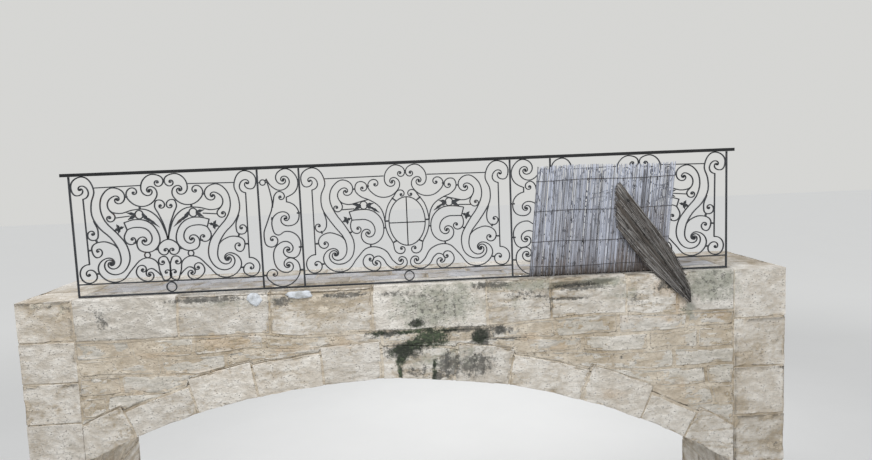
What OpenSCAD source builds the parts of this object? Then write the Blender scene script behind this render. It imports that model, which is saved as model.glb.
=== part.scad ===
// Forged iron balcony rail on a stone gallery arch. Millimetres, +Z up, front towards -Y.
// The origin is on the ground under the middle of the whole piece.

/* [Balustrade] */
// Height of the handrail's centre over the sill bar's centre
rail_h = 985; // [900:5:1100]
// Post centres of each side bay
side_bay = 1484; // [1360:2:1600]
// Post centres of the middle bay
mid_bay = 1720; // [1580:2:1860]
// Post centres of each narrow bay
narrow_bay = 334; // [310:2:360]
// Centre of the bottom rail over the sill bar's centre
low_rail_z = 100; // [85:1:115]
// From the wall to the centre of each end post
end_gap = 30; // [24:1:45]
// How far each end of the handrail is let into the wall
rail_bite = 30; // [20:5:60]

/* [Iron stock] */
// Width of a scroll bar, seen from the front
bar_w = 9; // [8:0.5:11]
// Depth of a scroll bar, front to back
bar_d = 14; // [12:1:18]
// Side of a square post
post_w = 15; // [12:1:22]
// Height of the bottom rail's bar
low_rail_h = 11; // [9:1:14]
// Height of the handrail
handrail_h = 27; // [20:1:32]
// Depth of the handrail
handrail_d = 46; // [40:1:56]
// Side of the sill bar
sill_w = 16; // [14:1:20]
// Radius of the flattened end at a scroll's eye
eye_r = 8; // [7:0.5:9]
// How far a collar stands proud of the bars it binds
collar_t = 3; // [2:0.5:4]

/* [Stone arch] */
// Depth of the gallery, front to back
gallery_d = 1100; // [950:10:1400]
// Height of the gallery floor over the ground
floor_z = 3600; // [3300:20:4200]
// Radius of the arch's underside
arch_r = 5460; // [5200:20:5800]
// Stone between the arch's crown and the gallery floor
crown_cover = 790; // [700:10:900]
// How far the crown lies left of the middle
crown_off = 290; // [0:10:320]
// Depth of the ring of arch stones
ring_t = 260; // [200:10:320]
// Height of the edge course under the railing
edge_h = 345; // [280:5:400]
// Depth of the edge course, front to back
edge_d = 320; // [240:10:400]
// Thickness of the floor slabs
slab_t = 120; // [80:5:160]
// Width of each pier
pier_w = 450; // [380:10:600]
// Setback of the railing's plane from the stone's face
rail_setback = 90; // [70:5:120]

/* [Reed screen] */
// Left end of the screen from the last narrow bay's first post
screen_x = 130; // [100:5:180]
// Length of the screen along its foot
screen_l = 1180; // [1050:10:1230]
// From the screen's top to the underside of the handrail
screen_gap = 54; // [30:2:120]
// How far the screen's top hangs over to the right
screen_lean = 95; // [40:5:120]
// Thickness of the screen
screen_t = 7; // [5:1:10]
// Length of the loose reed bundle
bundle_l = 1130; // [950:10:1250]
// Width of the loose reed bundle
bundle_w = 285; // [230:5:320]
// Thickness of the loose reed bundle
bundle_t = 40; // [30:2:50]

/* [Hidden] */
$fn = 48;

// The railing's places along X, from the left end post
post_xs = [0, side_bay, side_bay + narrow_bay, side_bay + narrow_bay + mid_bay,
           side_bay + 2 * narrow_bay + mid_bay, 2 * (side_bay + narrow_bay) + mid_bay];
rail_l = post_xs[5];
// Width of the passage between the piers, which stand under the walls
span = rail_l + 2 * end_gap;
// The gap at which a loose piece lies on its seat
seat_gap = 0.3;
// Thickness and widths of the sheet leaves, width of a petal, and the boss in the middle of a blossom
leaf_t = 3;
broad_leaf = 28;
slim_leaf = 23;
petal_w = 23;
boss_r = 10;
rosette_h = 8;
// The bundle's outline, turned to its slope, with its place over the floor
bundle_x = 492;
bundle_head = 721;
bundle_slope = 58;
bundle_outline = [for (p = [[0, 0.05], [0, 0.26], [0.27, 0.4], [0.56, 0.5], [0.79, 0.43], [0.95, 0.28],
                            [1, 0.1], [0.81, -0.18], [0.65, -0.41], [0.4, -0.5], [0.24, -0.45], [0.06, -0.13]])
    [p[0] * bundle_l * cos(bundle_slope) + p[1] * bundle_w * sin(bundle_slope),
     bundle_head - p[0] * bundle_l * sin(bundle_slope) + p[1] * bundle_w * cos(bundle_slope)]];
bundle_foot = min([for (p = bundle_outline) p[1]]);
bundle_top = max([for (p = bundle_outline) p[1]]);
wire_r = 1.5;
bundle_lean = asin((rail_setback - bar_d / 2 - rosette_h - screen_t - 2 * wire_r - seat_gap) / bundle_top);
bundle_proud = seat_gap - bundle_foot * sin(bundle_lean) + bundle_t * cos(bundle_lean);
front_y = -(gallery_d - bundle_proud) / 2;
back_y = front_y + gallery_d;
rail_y = front_y + rail_setback;
sill_z = floor_z + sill_w / 2;
handrail_under = rail_h - handrail_h / 2;
// Height of the reed screen, which stands on the floor's edge under the handrail
screen_h = sill_w / 2 + handrail_under - screen_gap;
low_rail_top = low_rail_z + low_rail_h / 2;

// Places of the arch
arch_cx = -crown_off;
arch_cz = floor_z - crown_cover - arch_r;
ring_out = arch_r + ring_t;

// Moves a railing piece from the drawing's place, X along the rail and Z from the sill bar
module on_rail(x) translate([x - rail_l / 2, rail_y, sill_z]) children();
// Stands a drawing in X and Z up as a plate, centred on the railing's plane
module plate(d) translate([0, d / 2, 0]) rotate([90, 0, 0]) linear_extrude(d) children();

// Curves
function unit(v) = v / norm(v);
function polar(c, r, a) = c + r * [cos(a), sin(a)];
// Degrees that a bar turns between two points of its line, in a coil and between given points
turn_step = 24;
bend_step = 15;
// A coil that leaves its eye e = [x, z, radius, angle, turn] and winds in to the eye's flat end
function coil(e) =
    let (n = ceil(abs(e[4]) / turn_step))
    [for (i = [0 : n]) polar([e[0], e[1]], e[2] * pow(eye_r / e[2], i / n), e[3] + e[4] * i / n)];
function coil_heading(e) =
    unit(ln(eye_r / e[2]) * [cos(e[3]), sin(e[3])] + e[4] * PI / 180 * [-sin(e[3]), cos(e[3])]);
// Length and height of a collar round two bars, and how far its plates are smaller than the bars behind
collar_l = 24;
collar_h = 13;
collar_inset = 0.5;
// How far the flattened eye of a scroll stands out over its coil's end
eye_swell = 1;
function is_eye(e) = len(e) == 5;
// The end's place and the way the bar runs there, for an eye or a plain end [x, z, heading]
function end_place(e) = is_eye(e) ? polar([e[0], e[1]], e[2], e[3]) : [e[0], e[1]];
function start_heading(e) = is_eye(e) ? -coil_heading(e) : [cos(e[2]), sin(e[2])];
function finish_heading(e) = is_eye(e) ? coil_heading(e) : [cos(e[2]), sin(e[2])];
// The heading of the arc through three points, at the middle one
function arc_heading(a, b, c) = unit(unit(b - a) * norm(c - b) + unit(c - b) * norm(b - a));
function grip(p, q, t) = norm(q - p) * 2 / (1 + max(0, unit(q - p) * t));
function turned(u, v) = acos(min(1, max(-1, u * v)));
function stretch(p, tp, q, tq) =
    let (a = grip(p, q, tp) * tp, b = grip(p, q, tq) * tq, chord = unit(q - p),
         n = max(2, ceil((turned(tp, chord) + turned(chord, tq)) / bend_step)))
    [for (i = [1 : n])
        let (s = i / n)
        (2 * s * s * s - 3 * s * s + 1) * p + (s * s * s - 2 * s * s + s) * a
        + (3 * s * s - 2 * s * s * s) * q + (s * s * s - s * s) * b];
function reversed(v) = [for (i = [len(v) - 1 : -1 : 0]) v[i]];
// The whole centreline of a forged bar from end a to end b by way of the points in via
function bar_line(a, via, b) =
    let (p = concat([end_place(a)], via, [end_place(b)]), n = len(p) - 1,
         t = [for (i = [0 : n]) i == 0 ? start_heading(a) : i == n ? finish_heading(b)
                                : arc_heading(p[i - 1], p[i], p[i + 1])])
    concat(is_eye(a) ? reversed(coil(a)) : [p[0]],
           [for (i = [0 : n - 1]) each stretch(p[i], t[i], p[i + 1], t[i + 1])],
           is_eye(b) ? [for (i = [1 : len(coil(b)) - 1]) coil(b)[i]] : []);

// A drawing is made for one clear opening and fitted to another: [left, right, low, high]
function fit_scale(from, to) = [(to[1] - to[0]) / (from[1] - from[0]), (to[3] - to[2]) / (from[3] - from[2])];
function fit_point(p, from, to) =
    let (k = fit_scale(from, to)) [to[0] + (p[0] - from[0]) * k[0], to[2] + (p[1] - from[2]) * k[1]];

// A bar of constant width along a line of points
module stroke(line, w = bar_w) {
    n = len(line) - 1;
    side = [for (i = [0 : n])
        let (h = unit(line[min(i + 1, n)] - line[max(i - 1, 0)])) [-h[1], h[0]] * w / 2];
    polygon(concat([for (i = [0 : n]) line[i] + side[i]], [for (i = [n : -1 : 0]) line[i] - side[i]]));
}
// The drawn bars [a, via, b], fitted from one opening to another, with the eyes' flat ends
module forged(bars, from, to) {
    for (b = bars) {
        stroke([for (p = bar_line(b[0], b[1], b[2])) fit_point(p, from, to)]);
        for (e = [b[0], b[2]])
            if (is_eye(e)) translate(fit_point([e[0], e[1]], from, to)) circle(eye_r + eye_swell, $fn = 20);
    }
}
module ring2d(r, w = bar_w) difference() { circle(r + w / 2); circle(r - w / 2); }
module ellipse(rx, rz, n) polygon([for (i = [0 : n - 1]) [rx * sin(i * 360 / n), rz * cos(i * 360 / n)]]);
// A closed loop drawn as [x, z, half width, half height] and fitted as the bars are
module loop2d(loop, from, to, n = 24) {
    k = fit_scale(from, to);
    translate(fit_point(loop, from, to)) difference() {
        ellipse(loop[2] * k[0] + bar_w / 2, loop[3] * k[1] + bar_w / 2, n);
        ellipse(loop[2] * k[0] - bar_w / 2, loop[3] * k[1] - bar_w / 2, n);
    }
}

// The side bay, drawn from its middle to the post at the right, as measured
SIDE_DRAWING = [0, 732, 105.5, 973];
SIDE_BARS = [
    [[52, 903, 47, 175, 400], [[80, 968], [160, 930]], [119, 838, 66, 15, -360]],
    [[119, 838, 64, 200, -330], [[92, 752], [173, 715], [262, 745]], [243, 829, 57, 0, 400]],
    [[376, 778, 62, 168, 310], [[401, 873], [490, 815], [513, 740], [485, 610], [401, 510],
        [332, 410], [327, 250], [391, 180]], [466, 262, 93, -102, 400]],
    [[376, 778, 36, 50, 230], [[455, 745], [441, 692], [371, 666], [262, 689], [163, 690],
        [74, 630], [22, 520]], [3, 440, -90]],
    [[441, 692, -120], [], [448, 632, 44, 180, 400]],
    [[466, 262, 52, 62, 320], [[568, 240], [520, 135], [461, 110], [391, 120], [302, 210],
        [213, 290], [170, 297], [104, 262], [80, 170]], [32, 169, 62, -90, -330]],
    [[657, 868, 54, -61, -200], [[728, 890], [649, 969], [552, 860], [580, 757], [584, 660],
        [530, 550], [451, 470], [391, 350]], [466, 262, 75, 181, 330]],
    [[574, 615, -105], [[546, 525], [570, 460]], [592, 508, 42, -25, 330]],
    [[403, 385, 60], [[461, 430], [510, 443], [608, 375]], [559, 366, 48, -95, -330]],
    [[641, 792, 175], [], [657, 868, 64, 196, -250]],
    [[636, 262, 5], [[690, 244], [716, 180], [654, 110]], [645, 180, 60, 185, -360]],
    [[337, 590, 165], [[262, 610], [163, 598], [84, 520], [76, 400], [173, 342]],
        [188, 435, 78, -45, 330]],
    [[317, 530, 150], [[243, 548], [144, 510]], [188, 435, 68, 155, 330]],
    [[317, 530, -60], [], [282, 450, 62, 5, -400]],
    [[38, 715, 52, 60, 400], [[86, 722], [62, 655], [24, 560]], [4, 445, -95]],
    [[0, 440, 0], [[45, 425]], [29, 351, 58, 15, -420]],
    [[59, 257, 50, 120, -430], [[8, 262]], [4, 130, -90]],
    [[218, 201, 38, 75, 400], [[272, 190], [240, 125]], [168, 160, 60, -66, -330]],
    [[78, 148, 50], [[112, 185]], [168, 160, 50, 107, -300]]
];
SIDE_STRAIGHTS = [[[181, 884], [552, 878]], [[641, 794], [636, 260]], [[337, 592], [317, 528]],
    [[290, 641], [406, 630]]];
SIDE_RINGS = [[173, 319.5, 22.5, 22.5], [213, 650, 32, 34]];
SIDE_LEAVES = [[[188, 661], [132, 590], broad_leaf], [[152, 624], [54, 540], slim_leaf],
    [[235, 651], [309, 670], slim_leaf], [[235, 646], [302, 612], broad_leaf]];
SIDE_BLOSSOM = [[372, 545], [[394, 580], [334, 558], [382, 504], [418, 528]]];
SIDE_COLLARS = [[306, 796, 0], [563, 446, 70], [620, 376, 0], [574, 184, 0], [204, 706, 90],
    [262, 422, 0], [96, 362, 0]];

// The middle bay, drawn from its middle to the post
MID_DRAWING = [0, 850, 105.5, 973];
MID_BARS = [
    [[42, 900, 38, 175, 400], [[72, 968], [150, 925]], [108, 832, 64, 15, -360]],
    [[108, 832, 64, 200, -330], [[84, 745], [170, 708], [262, 738]], [248, 819, 57, 0, 400]],
    [[773, 865, 54, -61, -200], [[842, 888], [763, 969], [652, 850], [688, 740], [684, 640],
        [640, 555], [588, 480], [513, 370]], [598, 255, 88, 180, 330]],
    [[674, 605, -105], [[655, 525], [670, 465]], [718, 493, 52, -105, 330]],
    [[513, 370, 60], [[588, 425], [648, 435]], [675, 346, 56, 15, -440]],
    [[758, 792, 175], [], [773, 865, 64, 196, -250]],
    [[758, 260, 5], [[808, 243], [836, 180], [782, 110]], [753, 178, 52, -136, -330]],
    [[488, 768, 62, 160, 310], [[498, 862], [590, 812], [620, 715], [583, 600], [508, 490],
        [440, 330], [478, 210], [528, 178]], [598, 258, 88, -105, 400]],
    [[488, 768, 36, 50, 230], [[552, 755], [538, 692], [470, 661], [400, 674]], [308, 695, 170]],
    [[538, 692, -115], [], [568, 638, 46, 185, 400]],
    [[350, 790, 60, 60, 430], [[412, 785], [368, 722], [308, 695], [218, 630]], [182, 510, -92]],
    [[598, 258, 54, 56, 320], [[694, 235], [650, 140], [573, 110], [508, 120], [418, 220],
        [328, 300], [293, 305], [188, 270], [118, 172]], [64, 182, 38, -70, -230]],
    [[267, 168, 60, 105, -300], [[208, 200], [178, 150], [128, 114], [88, 109]],
        [64, 182, 54, 200, -330]],
    [[313, 205, 42, 60, 400], [[372, 200], [308, 110]], [267, 168, 60, -95, -300]],
    [[468, 600, 165], [[400, 613], [278, 600], [193, 470], [238, 350], [298, 326]],
        [323, 420, 66, -35, 330]],
    [[448, 530, 165], [[392, 533], [340, 532], [288, 503]], [323, 420, 64, 155, 330]],
    [[448, 535, -60], [], [403, 458, 56, 0, -400]]
];
MID_STRAIGHTS = [[[175, 882], [654, 878]], [[758, 794], [758, 258]], [[468, 602], [448, 533]],
    [[0, 305], [0, 705]], [[-4, 495], [150, 495]], [[80, 673], [118, 702]], [[90, 348], [120, 333]],
    [[426, 624], [526, 620]]];
MID_RINGS = [[348, 650, 30, 32]];
MID_LEAVES = [[[328, 650], [264, 664], slim_leaf], [[328, 646], [270, 618], broad_leaf],
    [[292, 633], [220, 584], slim_leaf], [[368, 651], [444, 662], slim_leaf],
    [[368, 646], [438, 608], broad_leaf]];
MID_BLOSSOM = [[486, 536], [[514, 564], [453, 550], [484, 498], [528, 520]]];
MID_COLLARS = [[309, 806, 0], [420, 785, 0], [698, 442, 70], [744, 350, 0], [703, 180, 0], [306, 316, 90],
    [186, 458, 0], [466, 432, 0], [165, 512, 0], [99, 687, 38], [105, 340, -27]];
// The oval medallion in the middle bay, and the scroll that runs round it
MID_OVAL = [0, 505, 148, 200];
MID_OVAL_SCROLL = [[38, 728, 48, 10, 400], [[146, 650], [174, 560], [178, 470], [158, 400], [122, 330]],
    [53, 278, 55, -20, -400]];

// The narrow bay, drawn from its left post to its right post
NARROW_DRAWING = [10, 324, 8, 973];
NARROW_BARS = [
    [[73, 898, -80], [[99, 780], [109, 680], [65, 555], [28, 430], [60, 345]], [94, 402, 60, -84, 400]],
    [[75, 890, -60], [[106, 840], [181, 800]], [206, 883, 56, -36, 360]],
    [[206, 883, 60, 164, 330], [[206, 969], [311, 905], [306, 800]], [223, 742, 200]],
    [[223, 704, -10], [[296, 660], [316, 600], [286, 525]], [206, 570, 66, -70, -360]],
    [[178, 745, 46, 100, -400], [[132, 765], [119, 715]], [109, 660, -95]],
    [[206, 570, 58, 110, -330], [[116, 590], [97, 510], [140, 436], [196, 462], [296, 420],
        [316, 340], [250, 243]], [213, 312, 66, -80, -360]],
    [[213, 312, 66, 90, -330], [[126, 350], [94, 245], [136, 145]], [208, 185, 66, -114, 400]],
    [[208, 185, 58, 85, 330], [[280, 215], [299, 160], [256, 55], [166, 11], [76, 40]],
        [91, 115, 58, 175, -400]]
];
NARROW_STRAIGHTS = [[[223, 746], [223, 700]], [[8, 868], [20, 868]], [[66, 868], [80, 868]]];
NARROW_RINGS = [[43, 868, 22, 22]];
NARROW_COLLARS = [[23, 107, 0], [311, 142, 0], [311, 610, 0], [311, 330, 0], [100, 572, 80], [68, 884, 35]];

// Clear openings between the posts and the rails, drawn from the middle or from the left post
function clear_half(bay) = [0, (bay - post_w) / 2, low_rail_top, handrail_under];
clear_narrow = [post_w / 2, narrow_bay - post_w / 2, sill_w / 2, handrail_under];

module window(to) translate([to[0], to[2]]) square([to[1] - to[0], to[3] - to[2]]);
module panel2d(bars, straights, rings, collars, from, to) {
    intersection() {
        window(to);
        union() {
            forged(bars, from, to);
            for (s = straights) stroke([fit_point(s[0], from, to), fit_point(s[1], from, to)]);
            for (r = rings) loop2d(r, from, to);
            for (c = collars) translate(fit_point(c, from, to)) rotate(c[2])
                square([collar_l, collar_h], center = true);
            children();
        }
    }
}
module both_halves() {
    children();
    mirror([1, 0, 0]) children();
}
module side_scrolls() plate(bar_d) both_halves()
    panel2d(SIDE_BARS, SIDE_STRAIGHTS, SIDE_RINGS, SIDE_COLLARS, SIDE_DRAWING, clear_half(side_bay));
module middle_scrolls() plate(bar_d) both_halves()
    panel2d(concat(MID_BARS, [MID_OVAL_SCROLL]), MID_STRAIGHTS, MID_RINGS, MID_COLLARS, MID_DRAWING,
        clear_half(mid_bay))
        loop2d(MID_OVAL, MID_DRAWING, clear_half(mid_bay), 48);
module narrow_scrolls() plate(bar_d)
    panel2d(NARROW_BARS, NARROW_STRAIGHTS, NARROW_RINGS, NARROW_COLLARS, NARROW_DRAWING, clear_narrow);

// Stone
module stone_block(x0, x1, y0, y1, z0, z1) translate([x0, y0, z0]) cube([x1 - x0, y1 - y0, z1 - z0]);
// A disc of the arch's circle, turned so that its edge starts where it meets the right wall
module arch_disc(r) translate([arch_cx, back_y + 1, arch_cz])
    rotate([90, -acos((span / 2 + crown_off) / r), 0])
        cylinder(r = r, h = gallery_d + 2, $fn = 180);
module left_pier() color("wheat")
    stone_block(-span / 2 - pier_w, -span / 2, front_y, back_y, 0, floor_z);
module right_pier() color("wheat")
    stone_block(span / 2, span / 2 + pier_w, front_y, back_y, 0, floor_z);
module arch_ring() color("burlywood") difference() {
    intersection() {
        stone_block(-span / 2, span / 2, front_y, back_y, 0, floor_z - edge_h);
        arch_disc(ring_out);
    }
    arch_disc(arch_r);
}
// Thickness of each face wall over the arch
spandrel_t = 300;
module front_spandrel() color("tan") difference() {
    stone_block(-span / 2, span / 2, front_y, front_y + spandrel_t, 0, floor_z - edge_h);
    arch_disc(ring_out);
}
module back_spandrel() color("tan") difference() {
    stone_block(-span / 2, span / 2, back_y - spandrel_t, back_y, 0, floor_z - edge_h);
    arch_disc(ring_out);
}
module arch_fill() color("rosybrown") difference() {
    union() {
        stone_block(-span / 2, span / 2, front_y + spandrel_t, back_y - spandrel_t, 0, floor_z - edge_h);
        stone_block(-span / 2, span / 2, front_y + edge_d, back_y - edge_d, floor_z - edge_h,
            floor_z - slab_t);
    }
    arch_disc(ring_out);
}
module front_edge_course() color("wheat")
    stone_block(-span / 2, span / 2, front_y, front_y + edge_d, floor_z - edge_h, floor_z);
module back_edge_course() color("wheat")
    stone_block(-span / 2, span / 2, back_y - edge_d, back_y, floor_z - edge_h, floor_z);
module floor_slabs() color("gainsboro")
    stone_block(-span / 2, span / 2, front_y + edge_d, back_y - edge_d, floor_z - slab_t, floor_z);
// Patches of lime below the narrow bay's posts: the middle of each, its length and its height
lime_left = 72;
lime_l = 140;
lime_h = 120;
lime_right = 37;
lime_long = 234;
lime_low = 70;
lime_spots = [[post_xs[1] - lime_left, lime_l, lime_h], [post_xs[2] - lime_right, lime_long, lime_low]];
lime_t = 8;
lime_drop = 7;
module lime_patches() color("white") for (p = lime_spots)
    translate([p[0] - rail_l / 2, front_y, floor_z - p[2] / 2 - lime_drop]) rotate([90, 0, 0])
        linear_extrude(lime_t) scale([p[1] / p[2], 1]) circle(d = p[2], $fn = 24);

// Iron frame
module sill_bar() color("dimgray") on_rail(0)
    translate([-post_w / 2, -sill_w / 2, -sill_w / 2]) cube([rail_l + post_w, sill_w, sill_w]);
module handrail() color("dimgray") on_rail(0)
    translate([-end_gap - rail_bite, -handrail_d / 2, handrail_under])
        cube([span + 2 * rail_bite, handrail_d, handrail_h]);
module post(i) color("dimgray") on_rail(post_xs[i])
    translate([-post_w / 2, -post_w / 2, sill_w / 2]) cube([post_w, post_w, handrail_under - sill_w / 2]);
module low_rail(i) color("dimgray") on_rail(post_xs[i] + post_w / 2)
    translate([0, -bar_d / 2, low_rail_z - low_rail_h / 2])
        cube([post_xs[i + 1] - post_xs[i] - post_w, bar_d, low_rail_h]);
module foot_ring(i) color("dimgray") on_rail((post_xs[i] + post_xs[i + 1]) / 2) {
    low = sill_w / 2;
    high = low_rail_z - low_rail_h / 2;
    translate([0, 0, (low + high) / 2]) plate(bar_d) ring2d((high - low - bar_w) / 2);
}
// The pairs of small plates that show where a collar binds two bars
module collar_set(list, from, to) for (c = list, s = [-1, 1])
    translate([fit_point(c, from, to)[0], s * (bar_d + collar_t) / 2, fit_point(c, from, to)[1]])
        rotate([0, -c[2], 0])
            cube([collar_l - 2 * collar_inset, collar_t, collar_h - 2 * collar_inset], center = true);
// A pointed leaf [root, tip, width], widest near its root
module leaf2d(leaf) {
    n = 6;
    along = leaf[1] - leaf[0];
    side = unit([-along[1], along[0]]) * leaf[2] / 2;
    edge = [for (i = [1 : n - 1]) [leaf[0] + along * i / n, side * sin(180 * pow(i / n, 0.7))]];
    near = [for (e = edge) e[0] + e[1]];
    far = [for (e = edge) e[0] - e[1]];
    polygon(concat([leaf[0]], near, [leaf[1]], reversed(far)));
}
function fit_leaf(leaf, from, to) = [fit_point(leaf[0], from, to), fit_point(leaf[1], from, to), leaf[2]];
// Sheet leaves, and a blossom of petals round a boss, seated on the front of the bars
module rosettes(leaves, blossom, from, to) translate([0, -bar_d / 2, 0]) rotate([90, 0, 0]) {
    linear_extrude(leaf_t) {
        for (l = leaves) leaf2d(fit_leaf(l, from, to));
        for (tip = blossom[1]) leaf2d(fit_leaf([blossom[0], tip, petal_w], from, to));
    }
    translate(fit_point(blossom[0], from, to)) cylinder(r = boss_r, h = rosette_h);
}

module left_end_post() post(0);
module left_bay_post() post(1);
module mid_left_post() post(2);
module mid_right_post() post(3);
module right_bay_post() post(4);
module right_end_post() post(5);
module left_low_rail() low_rail(0);
module mid_low_rail() low_rail(2);
module right_low_rail() low_rail(4);
left_axis = side_bay / 2;
mid_axis = rail_l / 2;
right_axis = rail_l - side_bay / 2;
module left_bay_scrolls() color("dimgray") on_rail(left_axis) side_scrolls();
module right_bay_scrolls() color("dimgray") on_rail(right_axis) side_scrolls();
module mid_bay_scrolls() color("dimgray") on_rail(mid_axis) middle_scrolls();
module left_narrow_scrolls() color("dimgray") on_rail(post_xs[1]) narrow_scrolls();
module right_narrow_scrolls() color("dimgray") on_rail(post_xs[4]) mirror([1, 0, 0]) narrow_scrolls();
module side_collars() both_halves() collar_set(SIDE_COLLARS, SIDE_DRAWING, clear_half(side_bay));
module left_bay_collars() color("dimgray") on_rail(left_axis) side_collars();
module right_bay_collars() color("dimgray") on_rail(right_axis) side_collars();
module mid_bay_collars() color("dimgray") on_rail(mid_axis)
    both_halves() collar_set(MID_COLLARS, MID_DRAWING, clear_half(mid_bay));
module left_narrow_collars() color("dimgray") on_rail(post_xs[1])
    collar_set(NARROW_COLLARS, NARROW_DRAWING, clear_narrow);
module right_narrow_collars() color("dimgray") on_rail(post_xs[4]) mirror([1, 0, 0])
    collar_set(NARROW_COLLARS, NARROW_DRAWING, clear_narrow);
module side_rosettes() both_halves() rosettes(SIDE_LEAVES, SIDE_BLOSSOM, SIDE_DRAWING, clear_half(side_bay));
module left_bay_rosettes() color("dimgray") on_rail(left_axis) side_rosettes();
module right_bay_rosettes() color("dimgray") on_rail(right_axis) side_rosettes();
module mid_bay_rosettes() color("dimgray") on_rail(mid_axis)
    both_halves() rosettes(MID_LEAVES, MID_BLOSSOM, MID_DRAWING, clear_half(mid_bay));
module left_foot_ring() foot_ring(0);
module mid_foot_ring() foot_ring(2);
module right_foot_ring() foot_ring(4);

// Reed screen on the front of the railing, with its fringe of uneven reeds and its rows of wire
reed_pitch = 22;
reed_gap = 3;
band_h = 12;
// How far the reeds' ends sway in a long wave, and how far each one is off its neighbours
reed_sway = 14;
reed_ragged = 12;
foot_ragged = 8;
screen_rows = [for (share = [0.085, 0.31, 0.585, 0.855]) share * screen_h];
screen_left = post_xs[3] + screen_x - rail_l / 2;
screen_back = rail_y - bar_d / 2 - rosette_h - seat_gap;
screen_front = screen_back - screen_t;
reeds = floor(screen_l / reed_pitch);
function lean_at(z) = screen_lean * z / screen_h;
function reed_foot(i) = foot_ragged * (1 + sin(i * 90));
function reed_top(i) = screen_h - reed_sway * (1 - sin(i * 7)) - reed_ragged * (1 - sin(i * 137));
// A bar of the screen from x0 to x1 and from z0 to z1, leaning as the reeds do
module leaning(x0, x1, z0, z1)
    polygon([for (e = [[x0, z0], [x1, z0], [x1, z1], [x0, z1]]) [e[0] + lean_at(e[1]), e[1]]]);
module reed2d(i)
    leaning(i * reed_pitch, (i + 1) * reed_pitch - reed_gap, reed_foot(i), reed_top(i));
module reed_screen() color("thistle") translate([screen_left, screen_back, floor_z])
    rotate([90, 0, 0]) linear_extrude(screen_t) {
        for (i = [0 : reeds - 1]) reed2d(i);
        for (z = screen_rows) leaning(reed_gap, reeds * reed_pitch - 2 * reed_gap, z, z + band_h);
    }
module screen_wires() color("dimgray") for (z = screen_rows)
    translate([screen_left + lean_at(z), screen_front - wire_r, floor_z + z + band_h / 2]) rotate([0, 90, 0])
        cylinder(r = wire_r, h = reeds * reed_pitch - reed_gap, $fn = 12);

// The loose bundle of brown reeds leans on the edge of the stone and on the wires of the screen
module reed_bundle() color("saddlebrown")
    translate([post_xs[4] + bundle_x - rail_l / 2, front_y - seat_gap, floor_z])
        rotate([90 - bundle_lean, 0, 0]) linear_extrude(bundle_t) polygon(bundle_outline);

left_pier();
right_pier();
arch_ring();
front_spandrel();
back_spandrel();
arch_fill();
front_edge_course();
back_edge_course();
floor_slabs();
lime_patches();
sill_bar();
handrail();
left_end_post();
left_bay_post();
mid_left_post();
mid_right_post();
right_bay_post();
right_end_post();
left_low_rail();
mid_low_rail();
right_low_rail();
left_bay_scrolls();
left_narrow_scrolls();
mid_bay_scrolls();
right_narrow_scrolls();
right_bay_scrolls();
left_bay_collars();
left_narrow_collars();
mid_bay_collars();
right_narrow_collars();
right_bay_collars();
left_bay_rosettes();
mid_bay_rosettes();
right_bay_rosettes();
left_foot_ring();
mid_foot_ring();
right_foot_ring();
reed_screen();
screen_wires();
reed_bundle();
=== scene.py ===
"""Looks of a forged iron gallery balcony on a stone arch: masonry, ironwork, reeds, light and camera.

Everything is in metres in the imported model's frame: +X along the railing, +Y to the back, +Z up.
"""

from __future__ import annotations

import logging
import math
from dataclasses import dataclass, field, replace
from functools import partial
from itertools import product
from typing import Callable, Sequence, TypeAlias

import bpy
import numpy as np
from mathutils import Matrix, Vector

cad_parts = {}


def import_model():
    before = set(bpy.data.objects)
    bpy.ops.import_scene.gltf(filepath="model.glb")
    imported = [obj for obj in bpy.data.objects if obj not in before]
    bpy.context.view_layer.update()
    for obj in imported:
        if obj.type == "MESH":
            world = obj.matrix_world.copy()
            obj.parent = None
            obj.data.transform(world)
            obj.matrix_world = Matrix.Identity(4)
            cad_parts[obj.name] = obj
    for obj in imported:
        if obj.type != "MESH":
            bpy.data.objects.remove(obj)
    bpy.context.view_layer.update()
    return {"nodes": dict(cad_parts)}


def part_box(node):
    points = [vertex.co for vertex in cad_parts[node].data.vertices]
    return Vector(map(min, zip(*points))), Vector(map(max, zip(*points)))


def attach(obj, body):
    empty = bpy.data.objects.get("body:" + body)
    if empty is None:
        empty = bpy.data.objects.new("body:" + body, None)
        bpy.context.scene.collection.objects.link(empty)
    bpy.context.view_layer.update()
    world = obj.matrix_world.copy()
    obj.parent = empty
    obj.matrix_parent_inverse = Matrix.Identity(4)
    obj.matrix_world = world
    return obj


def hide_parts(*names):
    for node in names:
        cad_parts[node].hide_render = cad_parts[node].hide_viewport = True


LOG = logging.getLogger("balcony")
Array = np.ndarray
Faces = list[list[int]]
Place = Callable[[Array], Array]
Numbers = Sequence[float]
Rows = tuple[tuple[float, ...], ...]
Triple = tuple[float, float, float]
Colour = tuple[float, float, float]
Material = bpy.types.Material
Settings = dict[str, object]
Values = dict[int | str, object]
Number: TypeAlias = "Link | float"
MM = 0.001
EVEN: Triple = (1.0, 1.0, 1.0)
BLACK: Colour = (0.0, 0.0, 0.0)


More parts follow.
